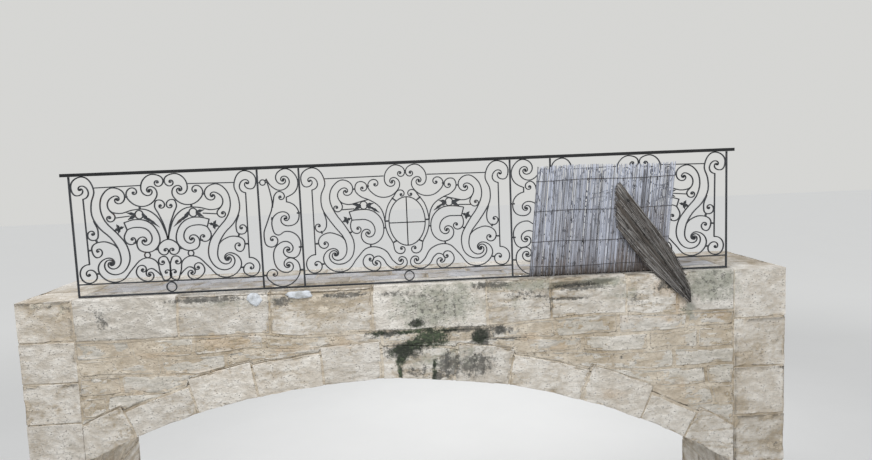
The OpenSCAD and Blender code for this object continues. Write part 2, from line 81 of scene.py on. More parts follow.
class Noise:
    """Smooth random bumps in space, the same on every run."""

    TABLE = 4096
    PRIMES = (73856093, 19349663, 83492791)
    SHIFT = 17.3

    def __init__(self, seed: int) -> None:
        """Draws the table of random heights from a seed."""
        self.heights = np.random.default_rng(seed).random(self.TABLE)

    def _corner(self, cell: Array) -> Array:
        """Returns the height of whole-number cells."""
        x, y, z = (cell[:, k] * prime for k, prime in enumerate(self.PRIMES))
        return self.heights[(x ^ y ^ z) % self.TABLE]

    def value(self, points: Array, size: float | Numbers) -> Array:
        """Returns one layer of bumps.

        Args:
            points: places, one row each.
            size: width of a bump, or its widths along the three axes.

        Returns:
            A height from -1 to 1 for each point.
        """
        p = points / np.asarray(size)
        cell = np.floor(p).astype(np.int64)
        f = p - cell
        f = f * f * (3 - 2 * f)
        total = np.zeros(len(p))
        for corner in product((0, 1), repeat=3):
            c = np.array(corner)
            weight = np.prod(np.where(c, f, 1 - f), axis=1)
            total += weight * self._corner(cell + c)
        return total * 2 - 1

    def fractal(self, points: Array, size: float | Numbers, layers: int = 4) -> Array:
        """Returns several layers of bumps, each half as wide and half as high as the last.

        Args:
            points: places, one row each.
            size: width of the widest bumps, or their three widths.
            layers: how many layers there are.

        Returns:
            A height from -1 to 1 for each point.
        """
        total = np.zeros(len(points))
        for k in range(layers):
            total += self.value(points + self.SHIFT * k, np.asarray(size) / 2**k) / 2**k
        return total / (2 - 2 ** (1 - layers))


def smooth(low: float, high: float, value: Array) -> Array:
    """Returns a soft step from 0 at low to 1 at high."""
    t = np.clip((value - low) / (high - low), 0, 1)
    return t * t * (3 - 2 * t)


def unit(v: Array) -> Array:
    """Returns the vectors in v, or the one vector v, at length one."""
    return v / np.maximum(np.linalg.norm(v, axis=-1, keepdims=True), 1e-12)


class MeshBag:
    """Gathers points, faces and painted values, and makes one object of them."""

    def __init__(self) -> None:
        """Starts empty."""
        self.points: list[Array] = []
        self.faces: list[list[int]] = []
        self.paint: dict[str, list[Array]] = {}
        self.count = 0

    def add(self, points: Array, faces: Sequence[Sequence[int]], **paint: Array | float) -> None:
        """Adds one closed piece.

        Args:
            points: its corners, one row each.
            faces: corner numbers of each face.
            paint: values painted on the corners, one for each or one for all.
        """
        for name in set(paint) | set(self.paint):
            rows = self.paint.setdefault(name, [np.zeros(self.count)] if self.count else [])
            rows.append(np.broadcast_to(np.asarray(paint.get(name, 0.0), float), len(points)))
        self.points.append(points)
        self.faces.extend([[i + self.count for i in f] for f in faces])
        self.count += len(points)

    def build(self, name: str, material: Material, sharp: float = 180.0) -> bpy.types.Object:
        """Makes the object.

        Args:
            name: the piece's name.
            material: its finish.
            sharp: edges that turn more than this many degrees stay crisp.

        Returns:
            The new object, linked into the scene.
        """
        mesh = bpy.data.meshes.new(name)
        mesh.from_pydata(np.concatenate(self.points).tolist(), [], self.faces)
        for key, rows in self.paint.items():
            layer = mesh.attributes.new(key, "FLOAT", "POINT")
            layer.data.foreach_set("value", np.concatenate(rows).astype(np.float32))
        mesh.polygons.foreach_set("use_smooth", [True] * len(mesh.polygons))
        if sharp < 180.0:
            mesh.set_sharp_from_angle(angle=math.radians(sharp))
        mesh.materials.append(material)
        mesh.validate()
        piece = bpy.data.objects.new(name, mesh)
        bpy.context.scene.collection.objects.link(piece)
        return piece


def finish_piece(piece: bpy.types.Object, slot: str, *nodes: str) -> bpy.types.Object:
    """Sets a piece on the gallery's one body, hides the solids that it stands for and logs its slot.

    Args:
        piece: the new object.
        slot: the record's material slot.
        nodes: CAD nodes that the piece replaces.

    Returns:
        The same object.
    """
    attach(piece, "root")
    if nodes:
        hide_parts(*nodes)
    LOG.info("%s: %d faces, slot %s", piece.name, len(piece.data.polygons), slot)
    return piece


class Link:
    """A shader value that takes part in plain arithmetic."""

    def __init__(self, tree: "Tree", socket: bpy.types.NodeSocket) -> None:
        """Keeps the socket that gives the value, and the tree it belongs to."""
        self.tree = tree
        self.socket = socket

    def __add__(self, other: Number) -> "Link":
        """Returns self + other."""
        return self.tree.math("ADD", self, other)

    def __radd__(self, other: float) -> "Link":
        """Returns other + self."""
        return self.tree.math("ADD", other, self)

    def __sub__(self, other: Number) -> "Link":
        """Returns self - other."""
        return self.tree.math("SUBTRACT", self, other)

    def __rsub__(self, other: float) -> "Link":
        """Returns other - self."""
        return self.tree.math("SUBTRACT", other, self)

    def __mul__(self, other: Number) -> "Link":
        """Returns self * other."""
        return self.tree.math("MULTIPLY", self, other)

    def __rmul__(self, other: float) -> "Link":
        """Returns other * self."""
        return self.tree.math("MULTIPLY", other, self)

    def step(self, low: float, high: float) -> "Link":
        """Returns a soft step from 0 at low to 1 at high."""
        settings = {"interpolation_type": "SMOOTHSTEP"}
        return self.tree.out("ShaderNodeMapRange", settings, {0: self, 1: low, 2: high})


class Tree:
    """The nodes of one material, with its surface shader at hand."""

    ROUGH = 0.6

    def __init__(self, name: str) -> None:
        """Makes an empty material with a Principled shader.

        Args:
            name: the material's name.
        """
        self.material = bpy.data.materials.new(name)
        self.material.use_nodes = True
        self.nodes = self.material.node_tree.nodes
        self.links = self.material.node_tree.links
        self.shader = self.nodes["Principled BSDF"]

    def node(self, kind: str, settings: Settings, values: Values) -> bpy.types.Node:
        """Adds a node.

        Args:
            kind: the node's type.
            settings: its own properties, set first.
            values: numbers, colours or links for its sockets, by number or name.

        Returns:
            The new node.
        """
        made = self.nodes.new(kind)
        for key, value in settings.items():
            setattr(made, key, value)
        for key, value in values.items():
            self.feed(made.inputs[key], value)
        return made

    def feed(self, socket: bpy.types.NodeSocket, value: object) -> None:
        """Gives a socket its value.

        Args:
            socket: the input.
            value: a link to join to it, or a number, colour or direction to write on it.
        """
        if isinstance(value, Link):
            self.links.new(value.socket, socket)
        elif isinstance(value, tuple) and socket.type == "RGBA":
            socket.default_value = (*value, 1.0)
        else:
            socket.default_value = value

    def out(self, kind: str, settings: Settings, values: Values, output: int | str = 0) -> Link:
        """Adds a node and returns one of its outputs."""
        return Link(self, self.node(kind, settings, values).outputs[output])

    def math(self, operation: str, *values: Number) -> Link:
        """Adds a Math node on numbers and links."""
        return self.out("ShaderNodeMath", {"operation": operation}, dict(enumerate(values)))

    def mix(self, share: Number, first: object, second: object) -> Link:
        """Returns a colour that runs from first to second as share goes from 0 to 1."""
        return self.out("ShaderNodeMix", {"data_type": "RGBA"}, {0: share, 6: first, 7: second}, 2)

    def shade(self, colour: Link, factor: Link) -> Link:
        """Returns a colour made lighter or darker by a factor."""
        return self.out("ShaderNodeVectorMath", {"operation": "SCALE"}, {0: colour, 3: factor})

    def place(self, stretch: Triple = EVEN) -> Link:
        """Returns the place on the piece, stretched along the axes."""
        here = self.out("ShaderNodeTexCoord", {}, {}, "Object")
        return self.out("ShaderNodeVectorMath", {"operation": "MULTIPLY"}, {0: here, 1: stretch})

    def noise(self, scale: float, detail: float = 3.0, stretch: Triple = EVEN) -> Link:
        """Returns cloudy noise from 0 to 1, of so many clouds in a metre and so many finer layers."""
        values = {"Vector": self.place(stretch), "Scale": scale, "Detail": detail, "Roughness": self.ROUGH}
        return self.out("ShaderNodeTexNoise", {}, values, "Fac")

    def cells(self, scale: float, stretch: Triple = EVEN) -> Link:
        """Returns the distance to the nearest of many scattered points."""
        values = {"Vector": self.place(stretch), "Scale": scale}
        return self.out("ShaderNodeTexVoronoi", {}, values, "Distance")

    def painted(self, name: str) -> Link:
        """Returns a value that the mesh carries."""
        return self.out("ShaderNodeAttribute", {"attribute_name": name}, {}, "Fac")

    def bump(self, height: Link, depth: float) -> Link:
        """Returns a surface direction from a height, whose full swing is depth metres."""
        return self.out("ShaderNodeBump", {}, {"Strength": 1.0, "Distance": depth, "Height": height})

    def surface(self, **values: object) -> Material:
        """Feeds the surface shader and returns the material.

        Args:
            values: socket names with underscores for spaces, and their numbers, colours or links.

        Returns:
            The finished material.
        """
        for key, value in values.items():
            self.feed(self.shader.inputs[key.replace("_", " ")], value)
        return self.material


@dataclass(frozen=True)
class Dirt:
    """A kind of dirt that is painted on the stones: its colour, and how its edges break up.

    The scale says how fine the edges break up, spread how far, soft how wide the run from clean to dirty is,
    and cover how much of the stone the dirt hides.
    """

    name: str
    colour: Colour
    scale: float
    soft: float
    spread: float = 1.0
    cover: float = 1.0

    FINER = 4.3
    BROAD_SWING = 1.9
    FINE_SWING = 1.1
    ONSET = 0.24

    def share(self, t: Tree) -> Link:
        """Returns where the dirt shows, with ragged, soft edges.

        Args:
            t: the nodes of the stone's material.

        Returns:
            A share from 0 to 1.
        """
        broad = t.noise(self.scale, detail=6.0) - 0.5
        fine = t.noise(self.scale * self.FINER, detail=4.0) - 0.5
        ragged = broad * (self.BROAD_SWING * self.spread) + fine * (self.FINE_SWING * self.spread)
        return (t.painted(self.name) + ragged - self.ONSET).step(low=0.0, high=self.soft)


@dataclass(frozen=True)
class Limestone:
    """Weathered limestone, or the earth in its joints, with bedding streaks, pits, painted dirt and painted
    shade.

    The field layered says how much its bedding shows, sunk how dark its hollows are, with ochre earth and
    painted shade, and relief how deep, in metres, its grain and pits go.
    """

    name: str
    pale: Colour = (0.68, 0.65, 0.60)
    deep: Colour = (0.55, 0.50, 0.43)
    # The hollow colour is ochre earth, darkened further as painted shade in the hollows.
    hollow: Colour = (0.34, 0.275, 0.19)
    slime: Colour = (0.026, 0.030, 0.022)
    ochre: Dirt = Dirt("ochre", (0.46, 0.33, 0.20), scale=6.0, soft=0.9, cover=0.42)
    algae: Dirt = Dirt("algae", (0.27, 0.28, 0.22), scale=15.0, soft=0.9, cover=0.72)
    soot: Dirt = Dirt("soot", (0.085, 0.083, 0.074), scale=27.0, soft=0.6, spread=1.25, cover=0.45)
    moss: Dirt = Dirt("moss", (0.085, 0.112, 0.062), scale=21.0, soft=0.65, spread=1.05)
    layered: float = 0.12
    hollow_earth_and_shade: float = 0.82
    relief: float = 0.014

    def make(self) -> Material:
        """Makes the stone.

        Returns:
            The finished material.
        """
        t = Tree(self.name)
        cloud = t.noise(1.7, detail=4.0)
        bed = t.noise(6.0, detail=6.0, stretch=(1.0, 1.0, 4.5))
        mottle = t.noise(11.0, detail=6.0, stretch=(1.0, 1.0, 1.7))
        fine = t.noise(46.0, detail=4.0, stretch=(1.0, 1.0, 1.6))
        drip = t.noise(22.0, detail=3.0, stretch=(1.0, 1.0, 0.12))
        holes = 1 - t.cells(40.0, stretch=(1.0, 1.0, 1.8)).step(low=0.06, high=0.28)
        pits = holes * mottle.step(low=0.44, high=0.58)
        patchy = cloud * 0.4 + mottle * (0.6 - self.layered) + bed * self.layered
        colour = t.mix(patchy.step(low=0.38, high=0.60), self.deep, self.pale)
        # Ochre earth and painted shade: the colour turns darker and browner where the weather has cut the
        # stone deep.
        hollow_earth_and_shade = (t.painted("cut") * 1.2 + fine * 0.6 - 0.65).step(low=0.0, high=0.45)
        colour = t.mix(hollow_earth_and_shade * self.hollow_earth_and_shade, colour, self.hollow)
        for dirt in (self.ochre, self.algae):
            colour = t.mix(dirt.share(t) * dirt.cover, colour, dirt.colour)
        colour = t.mix(self.soot.share(t) * (self.soot.cover + drip * 0.8), colour, self.soot.colour)
        green = fine * 0.6 + mottle * 0.4 - t.painted("soot") * 0.16
        growth = t.mix(green.step(low=0.34, high=0.66), self.slime, self.moss.colour)
        colour = t.mix(self.moss.share(t), colour, growth)
        # Painted shade: the colour follows the bump's height, so the pits and the low spots of the bump are
        # darker as if in shade, on top of the stone's random tone and bedding streaks.
        rows = (bed - 0.5) * self.layered
        tone = t.painted("tone") * 0.07 + (fine - 0.5) * 0.5 + (mottle - 0.5) * 0.5 + rows
        colour = t.shade(colour, 1.0 + tone - pits * 0.5)
        height = fine * 0.5 + mottle + rows * 1.5 - pits * 0.8
        return t.surface(Base_Color=colour, Roughness=0.80 + fine * 0.18, Normal=t.bump(height, self.relief))


@dataclass(frozen=True)
class Mortar:
    """Crumbly white lime thrown on the stone in lumps."""

    name: str
    pale: Colour = (0.62, 0.65, 0.69)
    deep: Colour = (0.40, 0.41, 0.41)
    relief: float = 0.009

    def make(self) -> Material:
        """Makes the mortar.

        Returns:
            The finished material.
        """
        t = Tree(self.name)
        cloud = t.noise(14.0, detail=6.0)
        grain = t.noise(140.0, detail=4.0)
        colour = t.mix(cloud.step(low=0.36, high=0.58), self.deep, self.pale)
        colour = t.shade(colour, 0.86 + grain * 0.28)
        height = grain * 0.4 + cloud
        return t.surface(Base_Color=colour, Roughness=0.9, Normal=t.bump(height, self.relief))


@dataclass(frozen=True)
class OldIron:
    """Dark old paint on forged iron, dusty in patches and rusty where it has worn.

    Rust shows where the wear passes the level that the field rusty gives, so a lower one is rustier.
    """

    name: str
    paint: Colour = (0.018, 0.020, 0.023)
    dust: Colour = (0.058, 0.064, 0.072)
    rust: Colour = (0.075, 0.034, 0.018)
    rusty: float = 0.58
    metallic: float = 0.25
    relief: float = 0.0012

    def make(self) -> Material:
        """Makes the iron.

        Returns:
            The finished material.
        """
        t = Tree(self.name)
        cloud = t.noise(7.0, detail=5.0)
        hammer = t.noise(45.0, detail=2.0)
        fleck = t.noise(120.0, detail=4.0)
        worn = (cloud * 0.6 + fleck * 0.4).step(low=self.rusty, high=self.rusty + 0.07)
        colour = t.mix((fleck * 0.5 + cloud * 0.5).step(low=0.35, high=0.70), self.paint, self.dust)
        colour = t.mix(worn, colour, self.rust)
        rough = 0.48 + cloud * 0.2 + worn * 0.25
        normal = t.bump(hammer * 0.7 + fleck * 0.3 + worn * 0.2, self.relief)
        return t.surface(Base_Color=colour, Roughness=rough, Metallic=self.metallic, Normal=normal)


@dataclass(frozen=True)
class Cane:
    """Weathered reed stems: streaks along the stem, dark nodes, painted shade in dark specks, and a tone of
    its own for each stem.

    The streaks are drawn out along the stem the more the smaller upright is, and own is the share of a stem's
    tone that is its own.
    """

    name: str
    pale: Colour
    deep: Colour
    stain: Colour
    upright: float = 0.08
    own: float = 0.6
    relief: float = 0.0015

    def make(self) -> Material:
        """Makes the reed.

        Returns:
            The finished material.
        """
        t = Tree(self.name)
        streak = t.noise(70.0, detail=3.0, stretch=(1.0, 1.0, self.upright))
        cloud = t.noise(4.0, detail=4.0)
        fleck = t.noise(45.0, detail=4.0, stretch=(1.0, 1.0, 0.5))
        tone = t.painted("tone") * self.own + streak * (1.2 - self.own)
        colour = t.mix(tone.step(low=0.25, high=0.85), self.deep, self.pale)
        stained = (t.painted("stain") + cloud * 0.7 - 0.45).step(low=0.0, high=0.6)
        colour = t.mix(stained, colour, self.stain)
        # Painted shade: dark specks from the fleck noise stand in for the shade between the stems.
        shade_specks = fleck.step(low=0.55, high=0.68)
        colour = t.shade(colour, 1.05 - t.painted("node") * 0.45 - shade_specks * 0.6)
        return t.surface(Base_Color=colour, Roughness=0.75 + streak * 0.2, Normal=t.bump(streak, self.relief))


@dataclass(frozen=True)
class Wire:
    """Dull galvanised tie wire with rust spots."""

    name: str
    zinc: Colour = (0.070, 0.070, 0.075)
    rust: Colour = (0.060, 0.036, 0.022)
    metallic: float = 0.7

    def make(self) -> Material:
        """Makes the wire.

        Returns:
            The finished material.
        """
        t = Tree(self.name)
        spots = t.noise(30.0, detail=3.0).step(low=0.48, high=0.60)
        colour = t.mix(spots, self.zinc, self.rust)
        return t.surface(Base_Color=colour, Roughness=0.5 + spots * 0.3, Metallic=self.metallic)


def grid_lines(low: float, high: float, step: float, edge: float) -> Array:
    """Returns places of grid lines, closer together within the rounded edges.

    Args:
        low: the first place.
        high: the last place.
        step: about how far apart the lines are.
        edge: how far from an end its edge reaches.

    Returns:
        The places from low to high.
    """
    count = max(2, round((high - low - 2 * edge) / step) + 1)
    inner = np.linspace(low + edge, high - edge, count)
    near = 0.35 * edge
    return np.concatenate([[low, low + near], inner, [high - near, high]])


def grid_quads(number: Array) -> Array:
    """Returns the quads between the numbered corners of a grid, one row each."""
    return np.stack([number[:-1, :-1], number[1:, :-1], number[1:, 1:], number[:-1, 1:]], -1).reshape(-1, 4)


def grid_rim(number: Array) -> Array:
    """Returns the numbered corners round a grid's edge, in the same turn as its quads."""
    return np.concatenate([number[:-1, 0], number[-1, :-1], number[:0:-1, -1], number[0, :0:-1]])


def loft_faces(rows: int, sides: int, closed: bool = False) -> Faces:
    """Returns the faces that join rings of corners.

    Args:
        rows: how many rings there are, numbered one after another.
        sides: corners of each ring.
        closed: whether the last ring is joined to the first, in place of a cap on both.

    Returns:
        Corner numbers of each face.
    """
    number = np.arange(rows * sides).reshape(rows, sides)
    faces = grid_quads(np.pad(number, ((0, int(closed)), (0, 1)), mode="wrap")).tolist()
    return faces if closed else [*faces, number[0].tolist(), number[-1, ::-1].tolist()]


def block_skin(lines: Sequence[Array], capped: tuple[int, int] | None = None) -> tuple[Array, Faces]:
    """Makes the skin of a block on grid lines.

    Args:
        lines: the places of the grid lines along the three axes.
        capped: the axis and side, 0 or 1, of a hidden face that is closed by one polygon, if there is one.

    Returns:
        The skin's points and faces.
    """
    last = [len(line) - 1 for line in lines]
    corners: list[Array] = []
    faces: list[Array] = []
    count = 0
    for axis, side in product(range(3), (0, 1)):
        a, b = [k for k in range(3) if k != axis]
        i, j = np.meshgrid(np.arange(last[a] + 1), np.arange(last[b] + 1), indexing="ij")
        triple = np.zeros((i.size, 3), int)
        triple[:, axis] = side * last[axis]
        triple[:, a], triple[:, b] = i.ravel(), j.ravel()
        number = np.arange(i.size).reshape(i.shape) + count
        quads = [grid_rim(number)] if capped == (axis, side) else grid_quads(number)
        outward = (side == 1) != (axis == 1)
        faces.extend(q if outward else q[::-1] for q in quads)
        corners.append(triple)
        count += i.size
    places, number = np.unique(np.concatenate(corners), axis=0, return_inverse=True)
    number = number.ravel()
    used = np.unique(np.concatenate([number[f] for f in faces]))
    renumber = np.full(len(places), -1)
    renumber[used] = np.arange(len(used))
    points = np.stack([lines[k][places[used, k]] for k in range(3)], -1)
    return points, [renumber[number[f]].tolist() for f in faces]


@dataclass(frozen=True)
class Dressing:
    """How the stones of one kind are cut and worn, in metres.

    Step and depth_step are the spacing of the mesh on the face and into the wall, joint is the joint's width,
    edge and corner are radii, and wear and chip are depths.
    """

    step: float
    joint: float
    edge: float
    wear: float
    chip: float = 0.008
    depth_step: float = 0.12
    corner: tuple[float, float] = (0.006, 0.014)


@dataclass(frozen=True)
class Weather:
    """Widths, in metres, of what the weather leaves on stone."""

    hollow: float = 0.26
    bed: Triple = (0.30, 0.30, 0.045)
    pit: float = 0.026
    worst: float = 0.55
    chip: float = 0.11
    rim: float = 0.13
    ragged: float = 0.16


@dataclass
class Mason:
    """Lays worn stones one by one into a mesh, and paints their dirt."""

    dressing: Dressing
    seed: int
    stains: Callable[[Array, Array], dict[str, Array]] | None = None
    spalls: Callable[[Array], Array] | None = None
    weather: Weather = Weather()
    bag: MeshBag = field(default_factory=MeshBag)

    LEAST_EDGES = 2.2
    LEAST_WEAR = 0.10
    DEEPEST_SEAT = 0.15
    CHIP_REACH = 0.040

    def __post_init__(self) -> None:
        """Draws this mason's own noise and luck."""
        self.noise = Noise(self.seed)
        self.luck = np.random.default_rng(self.seed)

    def lay(
        self,
        low: Numbers,
        high: Numbers,
        tight: str,
        capped: tuple[int, int],
        place: Place = lambda p: p,
        rough: float = 1.0,
    ) -> None:
        """Lays one stone.

        Args:
            low: the lowest corner of its place, joints included.
            high: the highest corner.
            tight: the sides that show, which keep no joint, such as "y0z1".
            capped: the hidden side that one polygon closes.
            place: bends the block's own space into the wall's.
            rough: how worn this stone is next to the others.
        """
        d, w = self.dressing, self.weather
        lo, hi = np.array(low, float), np.array(high, float)
        for k, axis in enumerate("xyz"):
            lo[k] += 0.0 if axis + "0" in tight else d.joint / 2
            hi[k] -= 0.0 if axis + "1" in tight else d.joint / 2
        if min(hi - lo) < self.LEAST_EDGES * d.edge:
            return
        steps = (d.step, d.depth_step, d.step)
        lines = [grid_lines(lo[k], hi[k], steps[k], d.edge) for k in range(3)]
        flat, faces = block_skin(lines, capped)
        inner = np.clip(flat, lo + d.edge, hi - d.edge)
        out = unit(flat - inner)
        near = np.sort(np.minimum(flat - lo, hi - flat), axis=1)[:, 1]
        tone = self.luck.uniform(-1, 1)
        shift = self.luck.uniform(0, 9, 3)
        seat = self.luck.uniform(0, self.DEEPEST_SEAT)
        here = place(flat)
        relief = self.relief(here + shift, rough) * (1 - seat) + seat
        chips = smooth(self.CHIP_REACH, 0.0, near)
        chips *= smooth(0.05, 0.45, self.noise.fractal(here + shift, w.chip, layers=3))
        depth = d.wear * relief + d.chip * chips
        if self.spalls:
            depth = depth + self.spalls(here)
        shown = self.LEAST_WEAR + (1 - self.LEAST_WEAR) * self._shown(out, tight)
        rim = 0.7 * d.joint * smooth(-0.6, 0.6, self.noise.fractal(here + shift, w.rim, layers=3))
        reach = d.edge - depth * shown - rim * (1 - shown)
        worn = place(self._rounded(inner + out * reach[:, None], lo, hi))
        ragged = self.noise.fractal(here, w.ragged, layers=3)
        # The cut value says how deep the weather has cut; the stone's finish paints ochre earth and shade
        # into the deep places from it.
        paint = {"tone": np.full(len(flat), tone), "cut": np.clip(relief + chips * 0.25, 0, 1)}
        if self.stains:
            paint.update(self.stains(here, ragged))
        self.bag.add(worn, faces, **paint)

    def _rounded(self, p: Array, lo: Array, hi: Array) -> Array:
        """Rounds a block's corners in the plane of the wall, each block by its own radius.

        Args:
            p: places on the block, one row each.
            lo: the block's lowest corner.
            hi: its highest corner.

        Returns:
            The places on the rounded block.
        """
        half = (hi - lo)[[0, 2]] / 2
        radius = min(self.luck.uniform(*self.dressing.corner), half.min() * 0.8)
        q = p[:, [0, 2]] - (lo + hi)[[0, 2]] / 2
        far = np.clip((abs(q) - (half - radius)) / radius, 0, 1)
        done = p.copy()
        done[:, [0, 2]] += np.sign(q) * radius * far * (np.sqrt(1 - far[:, ::-1] ** 2 / 2) - 1)
        return done

    def _shown(self, out: Array, tight: str) -> Array:
        """Returns how much each outward way turns to a side that shows, from 0 to 1."""
        turns = [out[:, "xyz".index(a)] * (2 * int(s) - 1) for a, s in zip(tight[::2], tight[1::2])]
        return np.max(turns, axis=0, initial=0.0)

    def relief(self, points: Array, rough: float) -> Array:
        """Returns how deep the weather has cut: hollows, bedding grooves and pits.

        Args:
            points: places, one row each.
            rough: how worn this stone is next to the others.

        Returns:
            A share of the dressing's wear, from 0 to 1, for each place.
        """
        w = self.weather
        hollow = self.noise.fractal(points, w.hollow, layers=5) * 0.5 + 0.5
        bed = self.noise.fractal(points, w.bed, layers=4)
        groove = 1 - smooth(0.0, 0.16, abs(bed))
        pits = smooth(0.40, 0.8, self.noise.value(points, w.pit))
        worst = smooth(-0.25, 0.35, self.noise.fractal(points + 3.0, w.worst, layers=3))
        rugged = (bed * 0.5 + 0.5) * 0.35 + groove * 0.32 + pits * 0.33
        return np.clip(hollow * 0.45 * (0.5 + rough / 2) + rough * rugged * (0.25 + 0.75 * worst), 0, 1)


@dataclass
class Gallery:
    """Places in the model's frame that the masonry and the ironwork share.

    The arch's radius, the ring's thickness, how far the crown stands left of the middle and the middle of the
    railing, measured from its left end post, are all in metres.
    """

    arch_r: float = 5.460
    ring_t: float = 0.260
    crown_off: float = 0.290
    rail_x: float = 2.678

    def __post_init__(self) -> None:
        """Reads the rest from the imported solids."""
        edge_low, edge_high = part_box("front_edge_course")
        self.half = edge_high.x
        self.front, self.edge_back = edge_low.y, edge_high.y
        self.floor, self.bed = edge_high.z, edge_low.z
        self.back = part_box("back_edge_course")[1].y
        self.arch_x = -self.crown_off
        self.ring_r = self.arch_r + self.ring_t
        self.arch_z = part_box("arch_ring")[1].z - self.ring_r

    def along(self, rail_mm: float) -> float:
        """Returns the model's x of a place measured along the railing in millimetres."""
        return rail_mm * MM - self.rail_x

    def ring_top(self, x: Array) -> Array:
        """Returns the height of the arch ring's outer edge."""
        return self.arch_z + np.sqrt(self.ring_r**2 - (x - self.arch_x) ** 2)

    def bend(self, p: Array) -> Array:
        """Returns the places of a straight bar of space (length, depth, radius), bent round the arch."""
        a = p[:, 0] / self.ring_r
        return np.stack([self.arch_x + p[:, 2] * np.sin(a), p[:, 1], self.arch_z + p[:, 2] * np.cos(a)], -1)

    def length_at(self, x: float) -> float:
        """Returns the length along the ring where its outer edge stands at x."""
        return self.ring_r * math.asin((x - self.arch_x) / self.ring_r)


@dataclass(frozen=True)
class Spot:
    """A soft patch of dirt on the front, in railing millimetres."""

    x: float
    z: float
    half_x: float
    half_z: float
    strength: float = 1.0

    def on(self, x: Array, z: Array) -> Array:
        """Returns the patch's strength at places given in railing millimetres."""
        away = np.sqrt(((x - self.x) / self.half_x) ** 2 + ((z - self.z) / self.half_z) ** 2)
        return self.strength * (1 - smooth(0.25, 1.25, away))


MOSS = (
    Spot(2760, -396, 440, 32, 0.95), Spot(2837, -455, 210, 112), Spot(2725, -325, 75, 42),
    Spot(2610, -550, 180, 78), Spot(2580, -625, 60, 75, 0.95), Spot(2573, -725, 28, 125, 0.85),
    Spot(2852, -730, 28, 125, 0.85), Spot(2700, -505, 140, 80), Spot(3239, -462, 95, 80),
    Spot(2400, -400, 80, 40, 0.7), Spot(4950, -320, 40, 45, 0.6),
)
SOOT = (
    Spot(3250, -462, 140, 105), Spot(3400, -420, 200, 48, 0.9), Spot(3470, -492, 190, 12),
    Spot(3100, -398, 190, 34), Spot(2973, -690, 150, 150, 0.9), Spot(3190, -700, 220, 140, 0.75),
    Spot(2870, -790, 60, 60, 0.9), Spot(2700, -728, 150, 100, 0.55), Spot(2610, -555, 210, 100, 0.9),
    Spot(2725, -325, 80, 45), Spot(2480, -400, 220, 45, 0.75), Spot(192, -170, 70, 120, 0.65),
    Spot(1020, -44, 400, 34, 0.95), Spot(1632, -85, 110, 55, 0.9), Spot(2140, -64, 220, 34, 0.95),
    # Soot and painted shade: the spot at 4060 darkens the broken ledge, and the thin spots at 3760, 3842 and
    # 3990 paint the dark lines of its crack.
    Spot(2560, -75, 240, 34, 0.6), Spot(3350, -40, 260, 40, 0.8), Spot(4060, -85, 280, 42, 0.95),
    Spot(4420, -705, 34, 16), Spot(3990, -182, 200, 16), Spot(3760, -150, 90, 14, 0.9),
    Spot(3842, -190, 12, 110, 0.85), Spot(4560, -210, 90, 60, 0.5), Spot(4800, -110, 120, 60, 0.7),
    Spot(3640, -130, 240, 60, 0.45), Spot(2870, -190, 420, 230, 0.36), Spot(5200, -120, 300, 200, 0.3),
)
ALGAE = (
    Spot(2890, -175, 500, 250, 0.95), Spot(2950, -35, 560, 40, 0.8), Spot(3700, -55, 560, 65, 0.85),
    Spot(4250, -60, 300, 60), Spot(4450, -160, 260, 110, 0.5), Spot(5200, -110, 320, 220),
    Spot(3000, -640, 460, 150, 0.7), Spot(5010, -320, 60, 110, 0.8), Spot(3560, -200, 220, 90, 0.45),
    Spot(1300, -80, 700, 60, 0.5),
)
OCHRE = (
    Spot(4790, -130, 150, 100), Spot(4930, -250, 90, 130), Spot(3640, -500, 110, 50, 0.95),
    Spot(3900, -590, 90, 50, 0.8), Spot(5280, -390, 130, 50, 0.85), Spot(1180, -410, 320, 95, 0.8),
    Spot(600, -485, 300, 34, 0.75), Spot(2140, -460, 240, 100, 0.6), Spot(4500, -390, 130, 50, 0.6),
    Spot(4800, -400, 160, 50, 0.7), Spot(400, -770, 180, 60, 0.6), Spot(4330, -1010, 160, 70, 0.75),
    Spot(4930, -950, 100, 80, 0.5), Spot(1750, -500, 260, 40, 0.6), Spot(900, -640, 320, 40, 0.5),
)


@dataclass
class FrontDirt:
    """Paints the front's moss, soot, algae and ochre where the real one has them."""

    gallery: Gallery
    stray_x: float = 16.0
    stray_z: float = 8.0

    def __call__(self, here: Array, ragged: Array) -> dict[str, Array]:
        """Returns the painted values at places in the model.

        Args:
            here: places, one row each.
            ragged: noise that breaks up the patches' edges.

        Returns:
            Values from 0 to 1 for each kind of dirt.
        """
        x = (here[:, 0] + self.gallery.rail_x) / MM + ragged * self.stray_x
        z = (here[:, 2] - self.gallery.floor) / MM + ragged * self.stray_z
        facing = 1 - smooth(0.10, 0.30, here[:, 1] - self.gallery.front)
        kinds = {"moss": MOSS, "soot": SOOT, "algae": ALGAE, "ochre": OCHRE}
        paint = {}
        for kind, spots in kinds.items():
            paint[kind] = facing * np.max([s.on(x, z) for s in spots], axis=0)
        below = 1 - smooth(-20.0, -6.0, z)
        paint["ochre"] = below * np.clip(paint["ochre"] + 0.12 + ragged * 0.25, 0, 1)
        return paint


@dataclass
class PlainDirt:
    """Paints light dirt under the floor's edge and at the foot of a wall."""

    floor: float
    strength: float = 0.6

    def __call__(self, here: Array, ragged: Array) -> dict[str, Array]:
        """Returns the painted values at places in the model.

        Args:
            here: places, one row each.
            ragged: noise that breaks up the edges of the dirt.

        Returns:
            Values from 0 to 1 for each kind of dirt.
        """
        below = 1 - smooth(self.floor - 0.02, self.floor - 0.01, here[:, 2])
        under = below * smooth(self.floor - 0.16, self.floor - 0.03, here[:, 2] + ragged * 0.08)
        foot = 1 - smooth(0.0, 0.5, here[:, 2] + ragged * 0.2)
        worst = np.maximum(under, foot * 0.7)
        return {
            "algae": self.strength * worst,
            "soot": self.strength * np.maximum(worst * 0.8, smooth(0.25, 0.7, ragged)),
            "ochre": below * np.clip(0.22 + ragged * 0.45, 0, 1),
        }


